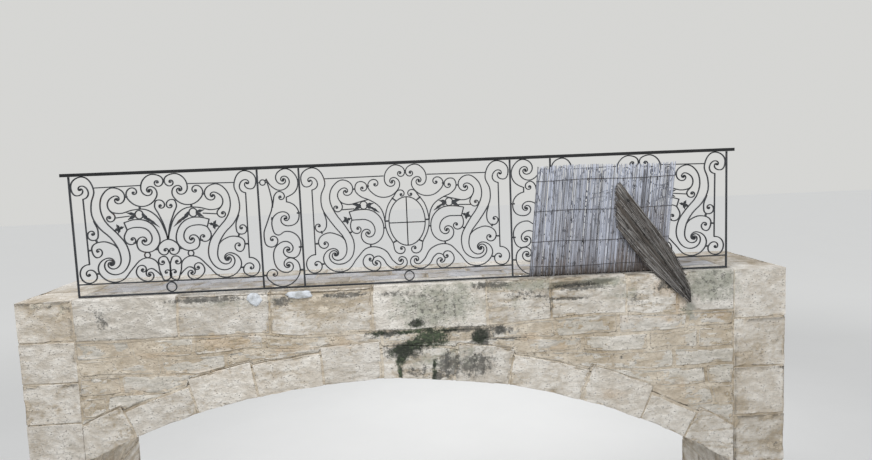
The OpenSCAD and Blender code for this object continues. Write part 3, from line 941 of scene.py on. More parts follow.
@dataclass(frozen=True)
class RoughRow:
    """One row of rough stones, between two wavy beds and cut off by the ring below."""

    gallery: Gallery
    wobble: Noise
    number: int
    top: float
    bottom: float
    reach: Place
    settle: Place
    wave: float = 0.045
    lean: float = 0.07

    def bed(self, x: Array, drop: float) -> Array:
        """Returns the height along x of a wavy bed, or of the straight one under the edge course."""
        seat = np.stack([x, np.full_like(x, drop * 9), np.zeros_like(x)], -1)
        return self.gallery.bed - drop + self.wave * (drop > 0) * self.wobble.fractal(seat, 0.6, layers=3)

    def place(self, p: Array) -> Array:
        """Bends a straight row into its place.

        Args:
            p: places in the row, from 0 at its foot, one row each.

        Returns:
            Their places in the model.
        """
        g, tall = self.gallery, self.bottom - self.top
        seat = np.stack([np.full(len(p), float(self.number)), np.zeros(len(p)), p[:, 0]], -1)
        lean = self.wobble.value(seat, 0.4)
        q = p.copy()
        q[:, 0] = np.clip(p[:, 0] + self.lean * lean * (p[:, 2] / tall - 0.5), -g.half, g.half)
        base = g.ring_top(q[:, 0]) + self.reach(q[:, 0]) + 0.003
        high = np.maximum(self.bed(q[:, 0], self.top), base + 0.002)
        low = np.maximum(self.bed(q[:, 0], self.bottom), base)
        q[:, 2] = low + (high - low) * p[:, 2] / tall
        return self.settle(q)


@dataclass
class Masonry:
    """The stone arch, its faces, the edge courses, the floor and the piers.

    Joints are in railing millimetres. The heads are how far each front arch stone reaches over the ring, and
    the drop is how far the blocks' lower edge hangs, in millimetres.
    """

    gallery: Gallery
    stone: dict[str, Material]
    mortar: Material
    top_joints: tuple[float, ...] = (800, 1530, 2370, 3310, 3838, 4470, 4900)
    top_rough: tuple[float, ...] = (0.45, 0.9, 1.3, 0.35, 1.2, 0.9, 0.8, 0.8)
    bed_drop: Rows = ((1450, 1750, 3350, 3700, 4200, 4700), (0, 38, 44, 5, -25, 0))
    back_joints: tuple[float, ...] = (420, 1130, 1900, 2540, 3220, 3960, 4610, 5080)
    ring_joints: tuple[float, ...] = (300, 830, 1350, 1920, 2420, 3050, 3520, 4150, 4680, 5080)
    ring_heads: tuple[float, ...] = (30, -20, 50, 20, 75, 20, 60, 15, 55, -20, 30)
    ring_rough: tuple[float, ...] = (0.6, 0.5, 0.45, 0.6, 0.6, 0.7, 0.8, 0.5, 0.6, 0.8, 0.7)
    rows: tuple[float, ...] = (0.0, 0.155, 0.305, 0.47, 0.64, 0.82, 1.1)
    row_joints: Rows = (
        (410, 905, 1480, 2010, 2440, 2960, 3330, 3860, 4400, 4990),
        (640, 1150, 4090, 4660, 5080),
        (310, 4870),
        (180, 5150),
        (5200,),
        (),
    )
    ashlar: Dressing = Dressing(step=0.011, joint=0.010, edge=0.009, wear=0.016, chip=0.012)
    rubble: Dressing = Dressing(
        step=0.0155, joint=0.016, edge=0.012, wear=0.034, chip=0.020, depth_step=0.3, corner=(0.015, 0.040)
    )
    coarse: Dressing = Dressing(step=0.034, joint=0.006, edge=0.008, wear=0.018)
    squared: Dressing = Dressing(step=0.034, joint=0.006, edge=0.008, wear=0.018, depth_step=0.06)
    flags: Dressing = Dressing(step=0.05, joint=0.006, edge=0.006, wear=0.010, depth_step=0.05)
    core: Dressing = Dressing(step=0.034, joint=0.0, edge=0.004, wear=0.006, chip=0.0, depth_step=0.20)
    back_stones: int = 11
    soffit_stones: int = 14
    slab_stones: int = 8
    pier_courses: int = 8
    shoulder_courses: int = 4
    ring_depth: float = 0.34
    soffit_joint: float = 0.56
    springing: float = 0.20
    inset: float = 0.008
    rubble_inset: float = 0.010
    pier_inset: float = 0.009
    top_inset: float = 0.012
    overlap: float = 0.02
    ledge_x: float = 3842
    ledge_depth: float = 0.034
    crack_depth: float = 0.012
    lip_depth: float = 0.014

    def __post_init__(self) -> None:
        """Draws the noise that moves the stones out of line."""
        self.drift = Noise(7)

    def build(self) -> None:
        """Builds every stone piece and its mortar."""
        self.edge_course("front_edge_course", self.top_joints, front=True)
        self.edge_course("back_edge_course", self.back_joints, front=False)
        self.ring()
        self.spandrel("front_spandrel", front=True)
        self.spandrel("back_spandrel", front=False)
        self.slabs()
        for name in ("left_pier", "right_pier"):
            self.pier(name)

    def _mason(self, dressing: Dressing, seed: int, front: bool) -> Mason:
        """Returns a mason with the dirt of the front or of another side."""
        dirt = FrontDirt(self.gallery) if front else PlainDirt(self.gallery.floor)
        return Mason(dressing, seed, stains=dirt)

    def _finish(self, mason: Mason, piece: str, slot: str, *nodes: str) -> None:
        """Makes a piece of all that a mason has laid."""
        finish_piece(mason.bag.build(piece, self.stone[slot]), slot, *nodes)

    def settled(self, p: Array) -> Array:
        """Moves places a little out of line, less at the walls and at the floor, and bends the blocks' bed.

        Args:
            p: places in the model, one row each.

        Returns:
            The moved places.
        """
        g = self.gallery
        free = smooth(0.0, 0.12, g.half - abs(p[:, 0])) * smooth(0.0, 0.10, g.floor - p[:, 2])
        flat = p * (1.0, 0.0, 1.0)
        q = p.copy()
        q[:, 0] += 0.020 * free * self.drift.fractal(flat, 0.32, layers=4)
        q[:, 2] += 0.016 * free * self.drift.fractal(flat + 5.0, 0.34, layers=4)
        drop = np.interp((p[:, 0] + g.rail_x) / MM, *self.bed_drop) * MM
        q[:, 2] -= drop * smooth(0.18, 0.0, abs(p[:, 2] - g.bed))
        return q

    def _core(
        self,
        name: str,
        low: Numbers,
        high: Numbers,
        front: bool,
        place: Place = lambda p: p,
        wear: float = 0.006,
    ) -> None:
        """Makes the mortar behind the stones of one node, a little back from their faces.

        Args:
            name: the node.
            low: the lowest corner of its place.
            high: the highest corner.
            front: whether it has the front's dirt.
            place: bends the block's own space into the wall's.
            wear: how deep its face is worn.
        """
        mason = self._mason(replace(self.core, wear=wear), seed=5, front=front)
        if name == "front_edge_course":
            mason.spalls = self.broken_ledge
        mason.lay(low, high, "x0x1y0y1z0z1", (1, 1), place)
        finish_piece(mason.bag.build(name + "_mortar", self.mortar), "lime")

    def edge_course(self, node: str, joints: Numbers, front: bool) -> None:
        """Lays the blocks under the railing, or those along the back edge.

        Args:
            node: the course's node.
            joints: the joints along it, in railing millimetres.
            front: whether it is the front course.
        """
        g = self.gallery
        low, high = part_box(node)
        mason = self._mason(self.ashlar if front else self.coarse, seed=11 if front else 12, front=front)
        if front:
            mason.spalls = self.broken_ledge
        joint = mason.dressing.joint / 2
        ends = [low.x - joint, *[g.along(j) for j in joints], high.x + joint]
        face = "y0" if front else "y1"
        capped = (1, 1) if front else (1, 0)
        for x0, x1, rough in zip(ends, ends[1:], self.top_rough):
            mason.lay((x0, low.y, low.z), (x1, high.y, high.z), face + "z1", capped, self.settled, rough)
        self._finish(mason, node + "_blocks", "edge_stone", node)
        y0, y1 = (low.y + self.inset, high.y) if front else (low.y, high.y - self.inset)
        core_low = (low.x - self.overlap, y0, low.z - 0.014)
        core_high = (high.x + self.overlap, y1, high.z - self.top_inset)
        self._core(node, core_low, core_high, front, self.settled)

    def broken_ledge(self, here: Array) -> Array:
        """Returns how deep the front blocks are broken away: a ledge, an open joint and a chipped lip.

        Args:
            here: places in the model, one row each.

        Returns:
            A depth in metres for each place.
        """
        g = self.gallery
        x = (here[:, 0] + g.rail_x) / MM
        drop = (g.floor - here[:, 2]) / MM
        front = 1 - smooth(0.02, 0.10, here[:, 1] - g.front)
        out = x - self.ledge_x
        ledge = smooth(-6, 8, out) * (1 - smooth(440, 560, out)) * smooth(46, 58, drop + out * 0.03)
        ledge *= 1 - smooth(108, 118, drop + out * 0.068)
        crack = smooth(-10, 10, out) * (1 - smooth(310, 410, out)) * (1 - smooth(3, 12, abs(drop - 178)))
        lip = (1 - smooth(10, 45, drop)) * smooth(760, 900, x) * (1 - smooth(2300, 2400, x))
        return front * (self.ledge_depth * ledge + self.crack_depth * crack + self.lip_depth * lip)

    def ring(self) -> None:
        """Lays the arch stones: a front ring, a back ring and the soffit between."""
        g = self.gallery
        ends = [-g.half, *[g.along(j) for j in self.ring_joints], g.half]
        lengths = [g.length_at(x) for x in ends]
        lengths[0] -= self.springing
        lengths[-1] += self.springing
        self._front_ring(lengths)
        self._hidden_ring(lengths[0], lengths[-1])
        low = (lengths[0], g.front + self.inset, g.arch_r + self.inset)
        high = (lengths[-1], g.back - self.inset, g.ring_r - 0.005)
        self._core("arch_ring", low, high, True, self.bent)

    def _front_ring(self, lengths: Numbers) -> None:
        """Lays the front arch stones, each with its own head.

        Args:
            lengths: the joints along the ring and its two ends.
        """
        g = self.gallery
        mason = self._mason(self.ashlar, seed=21, front=True)
        for a0, a1, head, rough in zip(lengths, lengths[1:], self.ring_heads, self.ring_rough):
            high = (a1, g.front + self.ring_depth, g.ring_r + head * MM)
            mason.lay((a0, g.front, g.arch_r), high, "y0z0", (1, 1), self.bent, rough)
        self._finish(mason, "arch_ring_front_stones", "arch_stone", "arch_ring")

    def _hidden_ring(self, start: float, end: float) -> None:
        """Lays the even arch stones of the back, and two rows between the rings with their joints in turn.

        Args:
            start: where the ring starts, along itself.
            end: where it ends.
        """
        g, ends = self.gallery, self.ring_depth
        back = self._mason(self.coarse, seed=22, front=False)
        for k in range(self.back_stones):
            a0, a1 = (start + (end - start) * i / self.back_stones for i in (k, k + 1))
            back.lay((a0, g.back - ends, g.arch_r), (a1, g.back, g.ring_r), "y1z0", (1, 0), self.bent)
        self._finish(back, "arch_ring_back_stones", "arch_stone")
        inner = self._mason(self.coarse, seed=23, front=False)
        rows = (g.front + ends, g.front + self.soffit_joint, g.back - ends)
        for row, (y0, y1) in enumerate(zip(rows, rows[1:])):
            bounds = np.linspace(start, end, self.soffit_stones + 1)
            bounds[1:-1] += 0.15 * (-1) ** row
            for a0, a1 in zip(bounds, bounds[1:]):
                inner.lay((a0, y0, g.arch_r), (a1, y1, g.ring_r - 0.1), "z0", (2, 1), self.bent)
        self._finish(inner, "arch_soffit_stones", "arch_stone")

    def bent(self, p: Array) -> Array:
        """Returns the places of stones bent round the arch, between the walls and a little out of line."""
        reach = np.array((self.gallery.half, np.inf, np.inf))
        return self.settled(np.clip(self.gallery.bend(p), -reach, reach))

    def heads(self, x: Array) -> Array:
        """Returns how far the front arch stones reach over the ring.

        Args:
            x: places along the wall.

        Returns:
            A height in metres for each place.
        """
        steps = np.array(self.ring_heads) * MM
        total = np.full_like(x, steps[0])
        for end, jump in zip(map(self.gallery.along, self.ring_joints), np.diff(steps)):
            total += jump * smooth(end - 0.012, end + 0.012, x)
        return total

    def spandrel(self, node: str, front: bool) -> None:
        """Lays the rough rows between the ring and the edge course.

        Args:
            node: the spandrel's node.
            front: whether it is the front one.
        """
        g = self.gallery
        low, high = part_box(node)
        mason = self._mason(self.rubble if front else self.coarse, seed=31 if front else 32, front=front)
        wobble = Noise(77 if front else 78)
        face, capped = ("y0", (1, 1)) if front else ("y1", (1, 0))
        reach: Place = self.heads if front else np.zeros_like
        wall = g.half + mason.dressing.joint / 2
        for k, (top, bottom) in enumerate(zip(self.rows, self.rows[1:])):
            row = RoughRow(g, wobble, k, top, bottom, reach, self.settled)
            ends = sorted([-wall, *[g.along(j) * (1 if front else -1) for j in self.row_joints[k]], wall])
            for x0, x1 in zip(ends, ends[1:]):
                middle = np.linspace(x0, x1, 9)
                if (g.bed - top - g.ring_top(middle) - reach(middle)).max() < 0.03:
                    continue
                rough = mason.luck.uniform(0.7, 1.3) * (1.0 if x0 < 0.6 else 0.7)
                mason.lay((x0, low.y, 0.0), (x1, high.y, bottom - top), face, capped, row.place, rough)
        self._finish(mason, node + "_stones", "rubble_stone", node)
        y0, y1 = (low.y + self.rubble_inset, high.y) if front else (low.y, high.y - self.rubble_inset)
        depth, half = g.bed - low.z, g.half + self.overlap
        self._core(node, (-half, y0, 0.0), (half, y1, depth), front, partial(self._fitted, depth), wear=0.010)

    def _fitted(self, depth: float, p: Array) -> Array:
        """Fits a straight block between the ring and the edge course.

        Args:
            depth: the block's height.
            p: places in it, from 0 at its foot, one row each.

        Returns:
            The places in the model.
        """
        q = p.copy()
        base = self.gallery.ring_top(p[:, 0])
        q[:, 2] = base + (self.gallery.bed - base) * p[:, 2] / depth
        return self.settled(q)

    def slabs(self) -> None:
        """Lays the floor's slabs between the edge courses, in two rows with their joints in turn."""
        low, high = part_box("floor_slabs")
        mason = self._mason(self.flags, seed=41, front=False)
        middle = (low.y + high.y) / 2
        for row, (y0, y1) in enumerate(((low.y, middle), (middle, high.y))):
            ends = np.linspace(low.x, high.x, self.slab_stones + 1)
            ends[1:-1] += 0.16 * (-1) ** row
            for x0, x1 in zip(ends, ends[1:]):
                mason.lay((x0, y0, low.z), (x1, y1, high.z), "z1", (2, 0))
        self._finish(mason, "floor_slab_stones", "floor_stone", "floor_slabs")
        self._core("floor_slabs", (low.x, low.y, low.z), (high.x, high.y, high.z - 0.008), False)

    def pier(self, node: str) -> None:
        """Lays one pier's courses, with its joints in turn near the front and the back.

        Args:
            node: the pier's node.
        """
        g = self.gallery
        low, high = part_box(node)
        left = low.x < 0
        mason = self._mason(self.squared, seed=51 if left else 52, front=True)
        inner, wall = ("x1", -g.half) if left else ("x0", g.half)
        spring = g.arch_z + math.sqrt(g.arch_r**2 - (wall - g.arch_x) ** 2)
        under = np.linspace(low.z, spring, self.pier_courses + 1)
        heights = np.concatenate([under, np.linspace(spring, high.z, self.shoulder_courses + 1)[1:]])
        courses = len(heights) - 1
        for k, (z0, z1) in enumerate(zip(heights, heights[1:])):
            share = 0.36 if k % 2 else 0.64
            cut = low.y + (high.y - low.y) * share + mason.luck.uniform(-0.05, 0.05)
            top = "z1" if k == courses - 1 else ""
            foot = "z0" if k == 0 else ""
            sides = "x0x1" if z1 < spring + 0.01 else "x0x1".replace(inner, "")
            for y0, y1, face in ((low.y, cut, "y0"), (cut, high.y, "y1")):
                mason.lay((low.x, y0, z0), (high.x, y1, z1), sides + face + top + foot, (2, 0))
        self._finish(mason, node + "_blocks", "pier_stone", node)
        inset = self.pier_inset
        core_low = (low.x + inset, low.y + inset, low.z + 0.002)
        core_high = (high.x - inset, high.y - inset, high.z - self.top_inset)
        self._core(node, core_low, core_high, False)


@dataclass(frozen=True)
class IronStock:
    """Section sizes of the scroll bars, in railing millimetres."""

    width: float = 9.0
    depth: float = 14.0
    corner: float = 1.6
    eye: float = 8.0
    tip: float = 0.75


def is_eye(end: Numbers) -> bool:
    """Returns whether an end of a bar is an eye, which takes five numbers."""
    return len(end) == 5


def compass(degrees: float) -> Array:
    """Returns the way of length one that lies at an angle."""
    return np.array([math.cos(math.radians(degrees)), math.sin(math.radians(degrees))])


class BarLine:
    """The centre line of a forged bar from one end, through given points, to the other end.

    An end is (x, z, radius, angle, turn) for an eye, or (x, z, heading) for a plain end, in degrees and
    millimetres, as in the part's drawing.
    """

    TURN = 10.0
    BEND = 7.0

    def __init__(self, first: Numbers, via: Sequence[tuple], last: Numbers, eye: float) -> None:
        """Works out the line.

        Args:
            first: the first end.
            via: points on the way.
            last: the last end.
            eye: radius at which a coil stops.
        """
        self.eye = eye
        knots = [self._start(first), *[np.array(v, float) for v in via], self._start(last)]
        ways = [-self._leaving(first) if is_eye(first) else self._leaving(first)]
        for a, b, c in zip(knots, knots[1:], knots[2:]):
            ways.append(unit(unit(b - a) * np.linalg.norm(c - b) + unit(c - b) * np.linalg.norm(b - a)))
        ways.append(self._leaving(last))
        parts = [self._coil(first)[::-1] if is_eye(first) else knots[0][None]]
        for k in range(len(knots) - 1):
            parts.append(self._stretch(knots[k], ways[k], knots[k + 1], ways[k + 1]))
        if is_eye(last):
            parts.append(self._coil(last)[1:])
        self.points = np.concatenate(parts)

    def _start(self, end: Numbers) -> Array:
        """Returns where the bar leaves an end."""
        at = np.array(end[:2], float)
        return at + end[2] * compass(end[3]) if is_eye(end) else at

    def _leaving(self, end: Numbers) -> Array:
        """Returns the way that the bar runs at an end.

        Args:
            end: the end.

        Returns:
            The way into the coil, or the heading of a plain end.
        """
        if not is_eye(end):
            return compass(end[2])
        out = compass(end[3])
        return unit(math.log(self.eye / end[2]) * out + math.radians(end[4]) * np.array([-out[1], out[0]]))

    def _coil(self, end: Numbers) -> Array:
        """Works out the coil of an eye.

        Args:
            end: the end with the eye.

        Returns:
            The coil's line, from where the bar leaves it in to the eye.
        """
        t = np.linspace(0, 1, math.ceil(abs(end[4]) / self.TURN) + 1)
        a = np.radians(end[3] + end[4] * t)
        r = end[2] * (self.eye / end[2]) ** t
        return np.stack([end[0] + r * np.cos(a), end[1] + r * np.sin(a)], -1)

    def _stretch(self, p: Array, tp: Array, q: Array, tq: Array) -> Array:
        """Works out a smooth run between two points.

        Args:
            p: the first point.
            tp: the way at it.
            q: the second point.
            tq: the way at it.

        Returns:
            The run's line, without the first point.
        """
        span, chord = np.linalg.norm(q - p), unit(q - p)
        a = span * 2 / (1 + max(0.0, chord @ tp)) * tp
        b = span * 2 / (1 + max(0.0, chord @ tq)) * tq
        turned = sum(math.degrees(math.acos(np.clip(chord @ t, -1, 1))) for t in (tp, tq))
        s = np.linspace(0, 1, max(3, math.ceil(turned / self.BEND)) + 1)[1:, None]
        return (
            (2 * s**3 - 3 * s**2 + 1) * p + (s**3 - 2 * s**2 + s) * a
            + (3 * s**2 - 2 * s**3) * q + (s**3 - s**2) * b
        )


@dataclass(frozen=True)
class Panel:
    """One bay's drawing, as in the part's source: bars, straights, rings, collars, leaves and a blossom."""

    opening: tuple[float, float, float, float]
    bars: tuple
    straights: tuple
    rings: tuple
    collars: tuple
    leaves: tuple = ()
    blossom: tuple = ()


SIDE = Panel(
    opening=(0, 732, 105.5, 973),
    bars=(
        ((52, 903, 47, 175, 400), ((80, 968), (160, 930)), (119, 838, 66, 15, -360)),
        ((119, 838, 64, 200, -330), ((92, 752), (173, 715), (262, 745)), (243, 829, 57, 0, 400)),
        ((376, 778, 62, 168, 310), ((401, 873), (490, 815), (513, 740), (485, 610), (401, 510),
            (332, 410), (327, 250), (391, 180)), (466, 262, 93, -102, 400)),
        ((376, 778, 36, 50, 230), ((455, 745), (441, 692), (371, 666), (262, 689), (163, 690),
            (74, 630), (22, 520)), (3, 440, -90)),
        ((441, 692, -120), (), (448, 632, 44, 180, 400)),
        ((466, 262, 52, 62, 320), ((568, 240), (520, 135), (461, 110), (391, 120), (302, 210),
            (213, 290), (170, 297), (104, 262), (80, 170)), (32, 169, 62, -90, -330)),
        ((657, 868, 54, -61, -200), ((728, 890), (649, 969), (552, 860), (580, 757), (584, 660),
            (530, 550), (451, 470), (391, 350)), (466, 262, 75, 181, 330)),
        ((574, 615, -105), ((546, 525), (570, 460)), (592, 508, 42, -25, 330)),
        ((403, 385, 60), ((461, 430), (510, 443), (608, 375)), (559, 366, 48, -95, -330)),
        ((641, 792, 175), (), (657, 868, 64, 196, -250)),
        ((636, 262, 5), ((690, 244), (716, 180), (654, 110)), (645, 180, 60, 185, -360)),
        ((337, 590, 165), ((262, 610), (163, 598), (84, 520), (76, 400), (173, 342)),
            (188, 435, 78, -45, 330)),
        ((317, 530, 150), ((243, 548), (144, 510)), (188, 435, 68, 155, 330)),
        ((317, 530, -60), (), (282, 450, 62, 5, -400)),
        ((38, 715, 52, 60, 400), ((86, 722), (62, 655), (24, 560)), (4, 445, -95)),
        ((0, 440, 0), ((45, 425),), (29, 351, 58, 15, -420)),
        ((59, 257, 50, 120, -430), ((8, 262),), (4, 130, -90)),
        ((218, 201, 38, 75, 400), ((272, 190), (240, 125)), (168, 160, 60, -66, -330)),
        ((78, 148, 50), ((112, 185),), (168, 160, 50, 107, -300)),
    ),
    straights=(
        ((181, 884), (552, 878)), ((641, 794), (636, 260)), ((337, 592), (317, 528)),
        ((290, 641), (406, 630)),
    ),
    rings=((173, 319.5, 22.5, 22.5), (213, 650, 32, 34)),
    collars=(
        (306, 796, 0), (563, 446, 70), (620, 376, 0), (574, 184, 0), (204, 706, 90), (262, 422, 0),
        (96, 362, 0),
    ),
    leaves=(
        ((188, 661), (132, 590), 30), ((152, 624), (54, 540), 22), ((235, 651), (309, 670), 25),
        ((235, 646), (302, 612), 28),
    ),
    blossom=((372, 545), ((394, 580), (334, 558), (382, 504), (418, 528))),
)

MID = Panel(
    opening=(0, 850, 105.5, 973),
    bars=(
        ((42, 900, 38, 175, 400), ((72, 968), (150, 925)), (108, 832, 64, 15, -360)),
        ((108, 832, 64, 200, -330), ((84, 745), (170, 708), (262, 738)), (248, 819, 57, 0, 400)),
        ((773, 865, 54, -61, -200), ((842, 888), (763, 969), (652, 850), (688, 740), (684, 640),
            (640, 555), (588, 480), (513, 370)), (598, 255, 88, 180, 330)),
        ((674, 605, -105), ((655, 525), (670, 465)), (718, 493, 52, -105, 330)),
        ((513, 370, 60), ((588, 425), (648, 435)), (675, 346, 56, 15, -440)),
        ((758, 792, 175), (), (773, 865, 64, 196, -250)),
        ((758, 260, 5), ((808, 243), (836, 180), (782, 110)), (753, 178, 52, -136, -330)),
        ((488, 768, 62, 160, 310), ((498, 862), (590, 812), (620, 715), (583, 600), (508, 490),
            (440, 330), (478, 210), (528, 178)), (598, 258, 88, -105, 400)),
        ((488, 768, 36, 50, 230), ((552, 755), (538, 692), (470, 661), (400, 674)), (308, 695, 170)),
        ((538, 692, -115), (), (568, 638, 46, 185, 400)),
        ((350, 790, 60, 60, 430), ((412, 785), (368, 722), (308, 695), (218, 630)), (182, 510, -92)),
        ((598, 258, 54, 56, 320), ((694, 235), (650, 140), (573, 110), (508, 120), (418, 220),
            (328, 300), (293, 305), (188, 270), (118, 172)), (64, 182, 38, -70, -230)),
        ((267, 168, 60, 105, -300), ((208, 200), (178, 150), (128, 114), (88, 109)),
            (64, 182, 54, 200, -330)),
        ((313, 205, 42, 60, 400), ((372, 200), (308, 110)), (267, 168, 60, -95, -300)),
        ((468, 600, 165), ((400, 613), (278, 600), (193, 470), (238, 350), (298, 326)),
            (323, 420, 66, -35, 330)),
        ((448, 530, 165), ((392, 533), (340, 532), (288, 503)), (323, 420, 64, 155, 330)),
        ((448, 535, -60), (), (403, 458, 56, 0, -400)),
        ((38, 728, 48, 10, 400), ((146, 650), (174, 560), (178, 470), (158, 400), (122, 330)),
            (53, 278, 55, -20, -400)),
    ),
    straights=(
        ((175, 882), (654, 878)), ((758, 794), (758, 258)), ((468, 602), (448, 533)), ((0, 305), (0, 705)),
        ((-4, 495), (150, 495)), ((80, 673), (118, 702)), ((90, 348), (120, 333)), ((426, 624), (526, 620)),
    ),
    rings=((348, 650, 30, 32),),
    collars=(
        (309, 806, 0), (420, 785, 0), (698, 442, 70), (744, 350, 0), (703, 180, 0), (306, 316, 90),
        (186, 458, 0), (466, 432, 0), (165, 512, 0), (99, 687, 38), (105, 340, -27),
    ),
    leaves=(
        ((328, 650), (264, 664), 25), ((328, 646), (270, 618), 28), ((292, 633), (220, 584), 22),
        ((368, 651), (444, 662), 25), ((368, 646), (438, 608), 28),
    ),
    blossom=((486, 536), ((514, 564), (453, 550), (484, 498), (528, 520))),
)
OVAL = (0, 505, 148, 200)

NARROW = Panel(
    opening=(10, 324, 8, 973),
    bars=(
        ((73, 898, -80), ((99, 780), (109, 680), (65, 555), (28, 430), (60, 345)), (94, 402, 60, -84, 400)),
        ((75, 890, -60), ((106, 840), (181, 800)), (206, 883, 56, -36, 360)),
        ((206, 883, 60, 164, 330), ((206, 969), (311, 905), (306, 800)), (223, 742, 200)),
        ((223, 704, -10), ((296, 660), (316, 600), (286, 525)), (206, 570, 66, -70, -360)),
        ((178, 745, 46, 100, -400), ((132, 765), (119, 715)), (109, 660, -95)),
        ((206, 570, 58, 110, -330), ((116, 590), (97, 510), (140, 436), (196, 462), (296, 420),
            (316, 340), (250, 243)), (213, 312, 66, -80, -360)),
        ((213, 312, 66, 90, -330), ((126, 350), (94, 245), (136, 145)), (208, 185, 66, -114, 400)),
        ((208, 185, 58, 85, 330), ((280, 215), (299, 160), (256, 55), (166, 11), (76, 40)),
            (91, 115, 58, 175, -400)),
    ),
    straights=(((223, 746), (223, 700)), ((8, 868), (20, 868)), ((66, 868), (80, 868))),
    rings=((43, 868, 22, 22),),
    collars=((23, 107, 0), (311, 142, 0), (311, 610, 0), (311, 330, 0), (100, 572, 80), (68, 884, 35)),
)


@dataclass(frozen=True)
class Opening:
    """The clear opening between posts and rails that a drawing is fitted to."""

    base: float
    foot: float
    rail_y: float
    stretch: tuple[float, float]
    drawn: tuple[float, float]
    hand: int

    @classmethod
    def between(cls, panel: Panel, left: str, right: str, foot: str, hand: int, mirrored: bool) -> "Opening":
        """Returns the opening of one bay.

        Args:
            panel: the bay's drawing.
            left: the node of its left post.
            right: the node of its right post.
            foot: the node of the bar at its foot.
            hand: 1 for the drawing as it is, and -1 for its mirror image.
            mirrored: whether the drawing is one half of the bay.

        Returns:
            The opening, or the half of it that the drawing fills.
        """
        x0, x1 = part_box(left)[1].x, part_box(right)[0].x
        z0, z1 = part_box(foot)[1].z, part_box("handrail")[0].z
        low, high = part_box("sill_bar")
        drawn = panel.opening
        wide = (x1 - x0) / 2 if mirrored else x1 - x0
        base = (x0 + x1) / 2 if mirrored else (x0 if hand > 0 else x1)
        stretch = (wide / MM / (drawn[1] - drawn[0]), (z1 - z0) / MM / (drawn[3] - drawn[2]))
        return cls(base, z0, (low.y + high.y) / 2, stretch, (drawn[0], drawn[2]), hand)

    def fit(self, flat: Array) -> Array:
        """Returns drawing places as millimetres from the opening's foot and its middle or side."""
        return (np.asarray(flat, float)[..., :2] - self.drawn) * self.stretch

    def stand(self, x: Array, y: Array, z: Array) -> Array:
        """Returns model places of fitted places, y being out of the drawing towards the back."""
        return np.stack([self.base + self.hand * x * MM, self.rail_y + y * MM, self.foot + z * MM], -1)

    def add(self, bag: MeshBag, points: Array, faces: Faces, turned: bool = False) -> None:
        """Adds a piece, turning its faces round where the drawing is mirrored."""
        bag.add(points, faces if (self.hand > 0) != turned else [f[::-1] for f in faces])


@dataclass(frozen=True)
class Strap:
    """Sizes of a collar, in railing millimetres."""

    size: Triple = (24.0, 20.0, 13.0)
    corner: float = 2.2
    step: float = 6.0
    groove: float = 0.04


@dataclass(frozen=True)
class Leaf:
    """Sizes of the sheet leaves and of a blossom's boss, in railing millimetres."""

    rows: int = 12
    columns: int = 9
    sheet: float = 1.8
    seat: float = 0.4
    cup: float = 5.0
    rib: float = 1.4
    tip: float = 1.2
    lobes: int = 5
    petal: float = 24.0
    boss: float = 11.0
    boss_rise: float = 9.0


